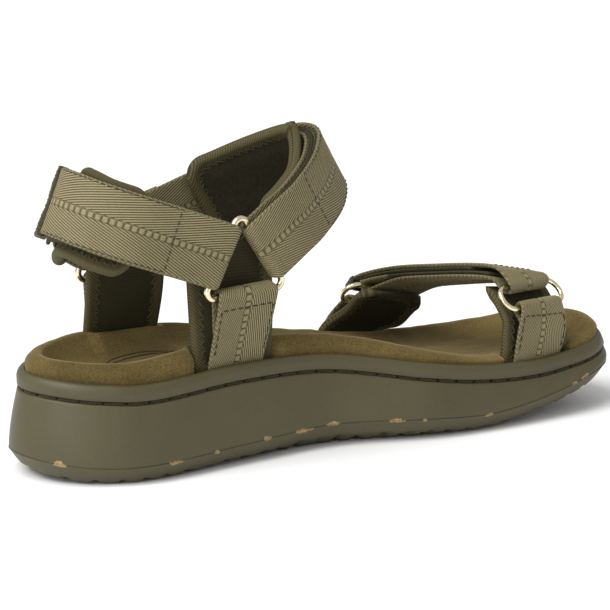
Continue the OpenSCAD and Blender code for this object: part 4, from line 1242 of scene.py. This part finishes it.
def binding(name, whole, s_end, body, seed, reach=2.0, thick=1.5):
    """A fuzzy folded binding over the flap's cut end, reaching past it."""
    half = WEB_WIDTH / 2 + 0.4
    u = np.linspace(-half, half, 90)
    a = np.linspace(0, 2 * np.pi, 25)
    rng = np.random.default_rng(seed)
    A, U = np.meshgrid(a, u, indexing="ij")
    fuzz = 1 + 0.06 * rng.normal(0, 1, A.shape)
    fuzz[-1] = fuzz[0]
    swell = 1 + 0.1 * np.sin(U / 2.9 + seed)
    round_a, round_b = np.cos(A), np.sin(A)
    S = s_end + reach - 2.2 + (reach * 0.5 + 2.0) * np.sign(round_a) * np.abs(round_a) ** 0.6 * fuzz
    H = thick * (0.12 + np.sign(round_b) * np.abs(round_b) ** 0.6 * fuzz * swell)
    frame_s = np.clip(S, 0, whole.s[-1])
    points = whole.at(frame_s, U, H)
    beyond = (S - frame_s)[..., None]
    t = unit(whole.p[-1] - whole.p[-4])
    points = (points + beyond * t).reshape(-1, 3)
    faces = grid_faces(len(a), len(u))
    first = [k * len(u) for k in range(len(a) - 1)]
    ends = [first, [k + len(u) - 1 for k in first][::-1]]
    make(name, points, faces + ends, MAT["hook"], body, "hook_tape")


def root_knot(x, side, depth, height):
    """A knot by the sole's wall, at a depth inside the footbed's side and a height over the board."""
    way = unit([4, side_y(x + 2, side) - side_y(x - 2, side), 0])
    floor = groove_at(x, side) + BOARD_THICK
    return knot([x, side_y(x, side) - side * (FOOTBED_INSET + depth), floor + height], way)


WEB_DEPTH = ROOM + WEB_THICK / 2
LINING_DEPTH = ROOM + WEB_THICK + ROOT_GAP + LINING_THICK / 2
SIDE_STEPS = 24
RIM_OVER_BOARD = RIM_HEIGHT - BOARD_THICK + 0.5


def down(k, distance):
    """A knot moved down, to set the direction at the one above it."""
    return [k[0], k[1], k[2] - distance, *k[3:]]


def ankle_side(place, centre):
    """An ankle side strap, up from the board, over the ring's lower bar and down again."""
    x, side, _ = place
    bar = ankle_bar(centre, BOTTOM_OUT)
    way = in_plane(BOTTOM_BAR)
    root = root_knot(x, side, WEB_DEPTH, ROOT_LIFT)
    rim = root_knot(x, side, WEB_DEPTH - ROOT_LEAN, RIM_OVER_BOARD)
    outer = knot(bar + [0, side * ANKLE_TURN, 0], way)
    up = curve([down(root, 5), root, rim, outer, down(outer, -10)], SIDE_STEPS)
    over = turn(bar, way, [0, side, 0], in_plane(BOTTOM_OUT), ANKLE_TURN)
    leg_y = bar[1] - side * ANKLE_TURN
    join_y = rim[1] + 0.5 * (bar[1] + side * ANKLE_TURN - rim[1]) - side * (WEB_THICK + 0.15)
    t = np.linspace(0, 1, 20)[1:, None]
    leg = np.hstack([
        np.array([bar[0], leg_y, bar[2]]) + t * np.array([0, join_y - leg_y, LEG_END - bar[2]]),
        np.tile(way, (19, 1)),
    ])
    return Strap(np.vstack([up, over[1:], leg])), outer[:3]


def ankle_lining(place):
    """The lining behind an ankle side strap and its ring."""
    x, side, _ = place
    root = root_knot(x, side, LINING_DEPTH, ROOT_LIFT)
    rim = root_knot(x, side, LINING_DEPTH, RIM_OVER_BOARD)
    bend = [x, side * LINING_BEND[1], LINING_BEND[0], 1, 0, 0]
    shoulder = [x, side * LINING_SHOULDER[1], LINING_SHOULDER[0], 1, 0, 0]
    top = [x, side * LINING_TOP[1], LINING_TOP[0], 1, 0, 0]
    past = [2 * a - b for a, b in zip(top[:3], shoulder[:3])] + [1, 0, 0]
    return Strap(curve([down(root, 5), root, rim, bend, shoulder, top, past], SIDE_STEPS))


def toe_tab(place, middle, low, bar, out, up):
    """A toe side strap, up from the board, over the ring's lower bar and down again."""
    root = root_knot(place[0], place[1], WEB_DEPTH, ROOT_LIFT)
    rim = root_knot(place[0], place[1], WEB_DEPTH - ROOT_LEAN, RIM_OVER_BOARD)
    outer = knot(low + TOE_TURN * out, bar)
    past = knot(low + TOE_TURN * out + 8 * up, bar)
    first = curve([down(root, 5), root, rim, middle, outer, past], SIDE_STEPS)
    over = turn(low, bar, out, -up, TOE_TURN)
    t = np.linspace(0, 1, 12)[1:, None]
    leg = np.hstack([low - TOE_TURN * out - 7 * t * up, np.tile(bar, (11, 1))])
    return Strap(np.vstack([first, over[1:], leg])), outer[:3]


def toe_lining(place, middle, low, high, bar, out, finish):
    """The lining behind a toe side strap, which goes on under the toe strap."""
    root = root_knot(place[0], place[1], LINING_DEPTH, ROOT_LIFT)
    rim = root_knot(place[0], place[1], LINING_DEPTH, RIM_OVER_BOARD)
    depth = TOE_TURN_TOP + 0.9 + LINING_THICK / 2
    behind = [knot(point - depth * out, bar) for point in (low, high)]
    past = [f + (f - g) for f, g in zip(finish, knot(high, bar))]
    return Strap(curve([down(root, 5), root, rim, middle, *behind, finish, past], SIDE_STEPS))


def build_side_strap(tag, place, strap, outer, lining, node, seam, thread, seed, corner, ribbed=False):
    """A side strap's webbing, its seam, from low up to a depth under the ring, and its lining."""
    webbing(f"{tag}_web", strap, 0, strap.length, BODY, place[1], seed, [node])
    low, depth = seam
    at = strap.nearest(outer) - depth
    side = sign_out(strap, at, place[1])
    rows = stitch_row(strap, at, side, 3.4) + stitch_sides(strap, low, at, side=side, pitch=3.4)
    tubes(f"{tag}_stitches", rows, thread, MAT["thread"], BODY, "thread")
    pad(f"{tag}_quarter", lining, 0, lining.length, place[2], LINING_THICK / 2, LINING_THICK, BODY,
        1, corner, seed, [f"{tag}_lining"], True, crown=0.8, ribbed=ribbed)


# The middle knots of the toe tabs and of their linings, and the linings' last knots
MT_TAB, MT_LINING = [178.8, -35.5, 38, 0.99, 0.05, -0.08], [178.5, -30.8, 35, 0.99, 0.05, -0.08]
LT_TAB, LT_LINING = [135, 41.6, 33.5, 0.98, 0.05, -0.15], [134.5, 37.2, 31, 0.98, 0.05, -0.15]
MT_FINISH, LT_FINISH = [173, -12, 50.6, 0.96, 0.2, -0.2], [149, 18.5, 45.4, 0.95, 0.2, -0.24]


def build_side_straps():
    for tag, place, centre, seed in (
        ("medial_ankle", MEDIAL_ANKLE, MEDIAL_RING, 21),
        ("lateral_ankle", LATERAL_ANKLE, LATERAL_RING, 22),
    ):
        strap, outer = ankle_side(place, centre)
        build_side_strap(tag, place, strap, outer, ankle_lining(place), f"{tag}_webbing",
                         (8.0, 4.6), 0.24, seed, 13, ribbed=True)
    for tag, place, tab, inner, low, high, bar, out, up, finish, seed in (
        ("medial_toe", MEDIAL_TOE, MT_TAB, MT_LINING, MT_LOW, MT_HIGH, MT_BAR, MT_OUT, MT_UP, MT_FINISH, 31),
        ("lateral_toe", LATERAL_TOE, LT_TAB, LT_LINING, LT_LOW, LT_HIGH, LT_BAR, LT_OUT, LT_UP, LT_FINISH,
         32),
    ):
        strap, outer = toe_tab(place, tab, low, bar, out, up)
        lining = toe_lining(place, inner, low, high, bar, out, finish)
        build_side_strap(tag, place, strap, outer, lining, f"{tag}_tab", (7.0, 5.0), 0.22, seed, 15)


def sign_out(strap, s, side):
    """Which of the strap's faces looks away from the foot at length s."""
    k = int(np.argmin(np.abs(strap.s - s)))
    return 1 if strap.n[k][1] * side > 0 else -1


def build_toe_strap():
    path = curve(TOE_KNOTS, STEPS)
    path[:, 3:] = unit_rows(path[:, 3:])
    outer = Strap(path)
    # The strap's own layer settles from the ring's inner side to just under the tapes
    part = path[path_index(TOE_RING_AT) :]
    outer_depth, inner_depth = FLAP_OVER_TURN - TOE_TURN, FLAP_OVER_TURN + TOE_TURN
    final = WEB_THICK * 1.5 + TOE_GAP
    settled = np.minimum(1, np.arange(len(part)) / path_index(8 / 6))
    depth = final + (inner_depth - final) * (0.5 + 0.5 * np.cos(np.pi * settled))
    lowered = lift(part, -depth)
    leg = leg_back(part, outer_depth, TOE_GAP + WEB_THICK / 2 - 0.1, path_index(5 / 6))
    first = turn(LT_HIGH, LT_BAR, LT_OUT, LT_UP, TOE_TURN)
    last = turn(MT_HIGH, MT_BAR, -MT_OUT, MT_UP, TOE_TURN)
    flap = lift(path, -WEB_THICK / 2)[::-1]
    whole = Strap(np.vstack([leg, first[1:-1], lowered[1:-1], last, flap[1:]]))
    s_a, s_b = whole.nearest(last[0, :3]), whole.nearest(last[-1, :3])
    fold_end = s_b + 4.5
    webbing("toe_webbing", whole, 0, s_a, BODY, 1, 41, ["toe_strap_webbing"])
    fold = webbing("toe_fold", whole, s_a, fold_end, None, 1, 41)
    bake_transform(fold)
    webbing("toe_flap_web", whole, fold_end, whole.length, "toe_flap", 1, 41, ["toe_flap_webbing"])
    tubes("toe_flap_stitches", stitch_row(whole, s_b + 9, -1, 3.4), 0.22, MAT["thread"], "toe_flap", "thread")
    layer("toe_loop", outer, s_of(outer, path, TOE_LOOP[0]), s_of(outer, path, TOE_LOOP[1]),
          -(WEB_THICK + TOE_GAP) + 0.05, -loop_top(TOE_GAP), BODY, MAT["loop"], "loop_tape", 42,
          "toe_loop_tape")
    layer("toe_hook", outer, s_of(outer, path, TOE_HOOK[0]), s_of(outer, path, TOE_HOOK[1]),
          -WEB_THICK - hook_thick(TOE_GAP), -WEB_THICK - 0.05, "toe_flap", MAT["hook"], "hook_tape", 43,
          "toe_hook_tape")
    binding("toe_binding", whole, whole.length, "toe_flap", 7)


# ---------------------------------------------------------------------------------------------
# Rings
# ---------------------------------------------------------------------------------------------
WIRE_SIDES = 24


def wire_ring(name, centre_line, radius, node):
    """A closed wire along a centre line, on the body of its own name."""
    line = np.asarray(centre_line)
    n = len(line)
    t = unit_rows(np.roll(line, -1, 0) - np.roll(line, 1, 0))
    middle = line.mean(0)
    out = unit_rows(line - middle - ((line - middle) * t).sum(1, keepdims=True) * t)
    side = np.cross(t, out)
    a = np.linspace(0, 2 * np.pi, WIRE_SIDES, endpoint=False)[None, :, None]
    points = line[:, None, :] + radius * (np.cos(a) * out[:, None, :] + np.sin(a) * side[:, None, :])
    faces = []
    for i in range(n):
        here, ahead = i * WIRE_SIDES, (i + 1) % n * WIRE_SIDES
        for k in range(WIRE_SIDES):
            m = (k + 1) % WIRE_SIDES
            faces.append([here + k, ahead + k, ahead + m, here + m])
    obj = make(name, points.reshape(-1, 3), faces, MAT["gold"], node, "gold_wire")
    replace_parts(obj, node)


def build_rings():
    for tag, centre in (("medial_ankle", MEDIAL_RING), ("lateral_ankle", LATERAL_RING)):
        line = []
        for k in range(3):
            base = TILT + 120 * k
            out, along = in_plane(base - 90), in_plane(base)
            for s in np.linspace(-BAR_LENGTH / 2, BAR_LENGTH / 2, 30):
                line.append(centre + ANKLE_BAR_OUT * out + s * along)
            corner = centre + (ANKLE_BAR_OUT - ANKLE_CORNER) * out + BAR_LENGTH / 2 * along
            for a in np.linspace(-90, 30, 16)[1:-1]:
                line.append(corner + ANKLE_CORNER * in_plane(base + a))
        wire_ring(f"{tag}_triangle", line, ANKLE_WIRE / 2, f"{tag}_ring")
    for tag, high, bar, up in (
        ("medial_toe", MT_HIGH, MT_BAR, MT_UP),
        ("lateral_toe", LT_HIGH, LT_BAR, LT_UP),
    ):
        half = TOE_APART / 2
        middle = high - half * up
        line = []
        for sign in (1, -1):
            for s in np.linspace(-BAR_LENGTH / 2, BAR_LENGTH / 2, 30):
                line.append(middle - sign * half * up + sign * s * bar)
            for a in np.radians(np.linspace(-90, 90, 20))[1:-1]:
                end = (BAR_LENGTH / 2 + half * math.cos(a)) * bar + half * math.sin(a) * up
                line.append(middle + sign * end)
        wire_ring(f"{tag}_oblong", line, TOE_WIRE / 2, f"{tag}_ring")


def build_zigzags():
    for name, info in PADS.items():
        lines = [line for side in (1, -1) for line in zigzag(info, side, ROLL - 0.2, 2.6, 3.8)]
        tubes(f"{name}_zigzag", lines, 0.25, MAT["zigzag"], info["body"], "thread", 5)


# ---------------------------------------------------------------------------------------------
# Floor, light and camera
# ---------------------------------------------------------------------------------------------
def place_object(name, data, location, towards):
    """A light or camera at a location, turned along a direction."""
    obj = bpy.data.objects.new(name, data)
    bpy.context.scene.collection.objects.link(obj)
    obj.location = location
    obj.rotation_euler = Vector(towards).to_track_quat("-Z", "Y").to_euler()
    return obj


# Where the camera and the side light stand and what they look at, and the sun's direction, in metres
CAMERA_AT, CAMERA_LOOKS = Vector((-0.3748, -0.7434, 0.230)), Vector((0.0858, 0, 0.0517))
SIDE_AT, SIDE_LOOKS = Vector((-0.9, -0.5, 0.45)), Vector((0.02, 0, 0.06))
SUN_WAY = (0.75, 0.12, -1.0)
FLOOR_HALF, FLOOR_DROP = 6.0, 0.0001


def build_stage():
    scene = bpy.context.scene
    mesh = bpy.data.meshes.new("floor")
    corners = [(-1, -1), (1, -1), (1, 1), (-1, 1)]
    mesh.from_pydata([(x * FLOOR_HALF, y * FLOOR_HALF, 0) for x, y in corners], [], [[0, 1, 2, 3]])
    shader = Shader("pale_floor")
    shader.surface_of((*grey(0.96), 1), 0.7)
    mesh.materials.append(shader.material)
    floor = bpy.data.objects.new("floor", mesh)
    scene.collection.objects.link(floor)
    floor.location.z = -FLOOR_DROP
    world = bpy.data.worlds.new("studio")
    world.use_nodes = True
    background = world.node_tree.nodes["Background"]
    background.inputs["Color"].default_value = (1, 1, 1, 1)
    background.inputs["Strength"].default_value = 0.55
    scene.world = world
    scene.view_settings.view_transform = "Standard"
    sun = bpy.data.lights.new("key", "SUN")
    sun.energy = 2.7
    sun.angle = math.radians(42)
    place_object("key", sun, (0, 0, 0), SUN_WAY)
    side = bpy.data.lights.new("side", "AREA")
    side.shape = "RECTANGLE"
    side.size, side.size_y = 0.5, 0.6
    side.energy = 3.0
    place_object("side", side, SIDE_AT, SIDE_LOOKS - SIDE_AT)
    camera = bpy.data.cameras.new("camera")
    camera.lens = 131.0
    camera.sensor_width = 36.0
    scene.camera = place_object("camera", camera, CAMERA_AT, CAMERA_LOOKS - CAMERA_AT)


build_stage()
build_outsole()
build_midsole()
build_rim()
build_board()
build_groove_thread()
build_print(build_footbed())
build_side_straps()
build_ankle_straps()
build_toe_strap()
build_rings()
build_zigzags()
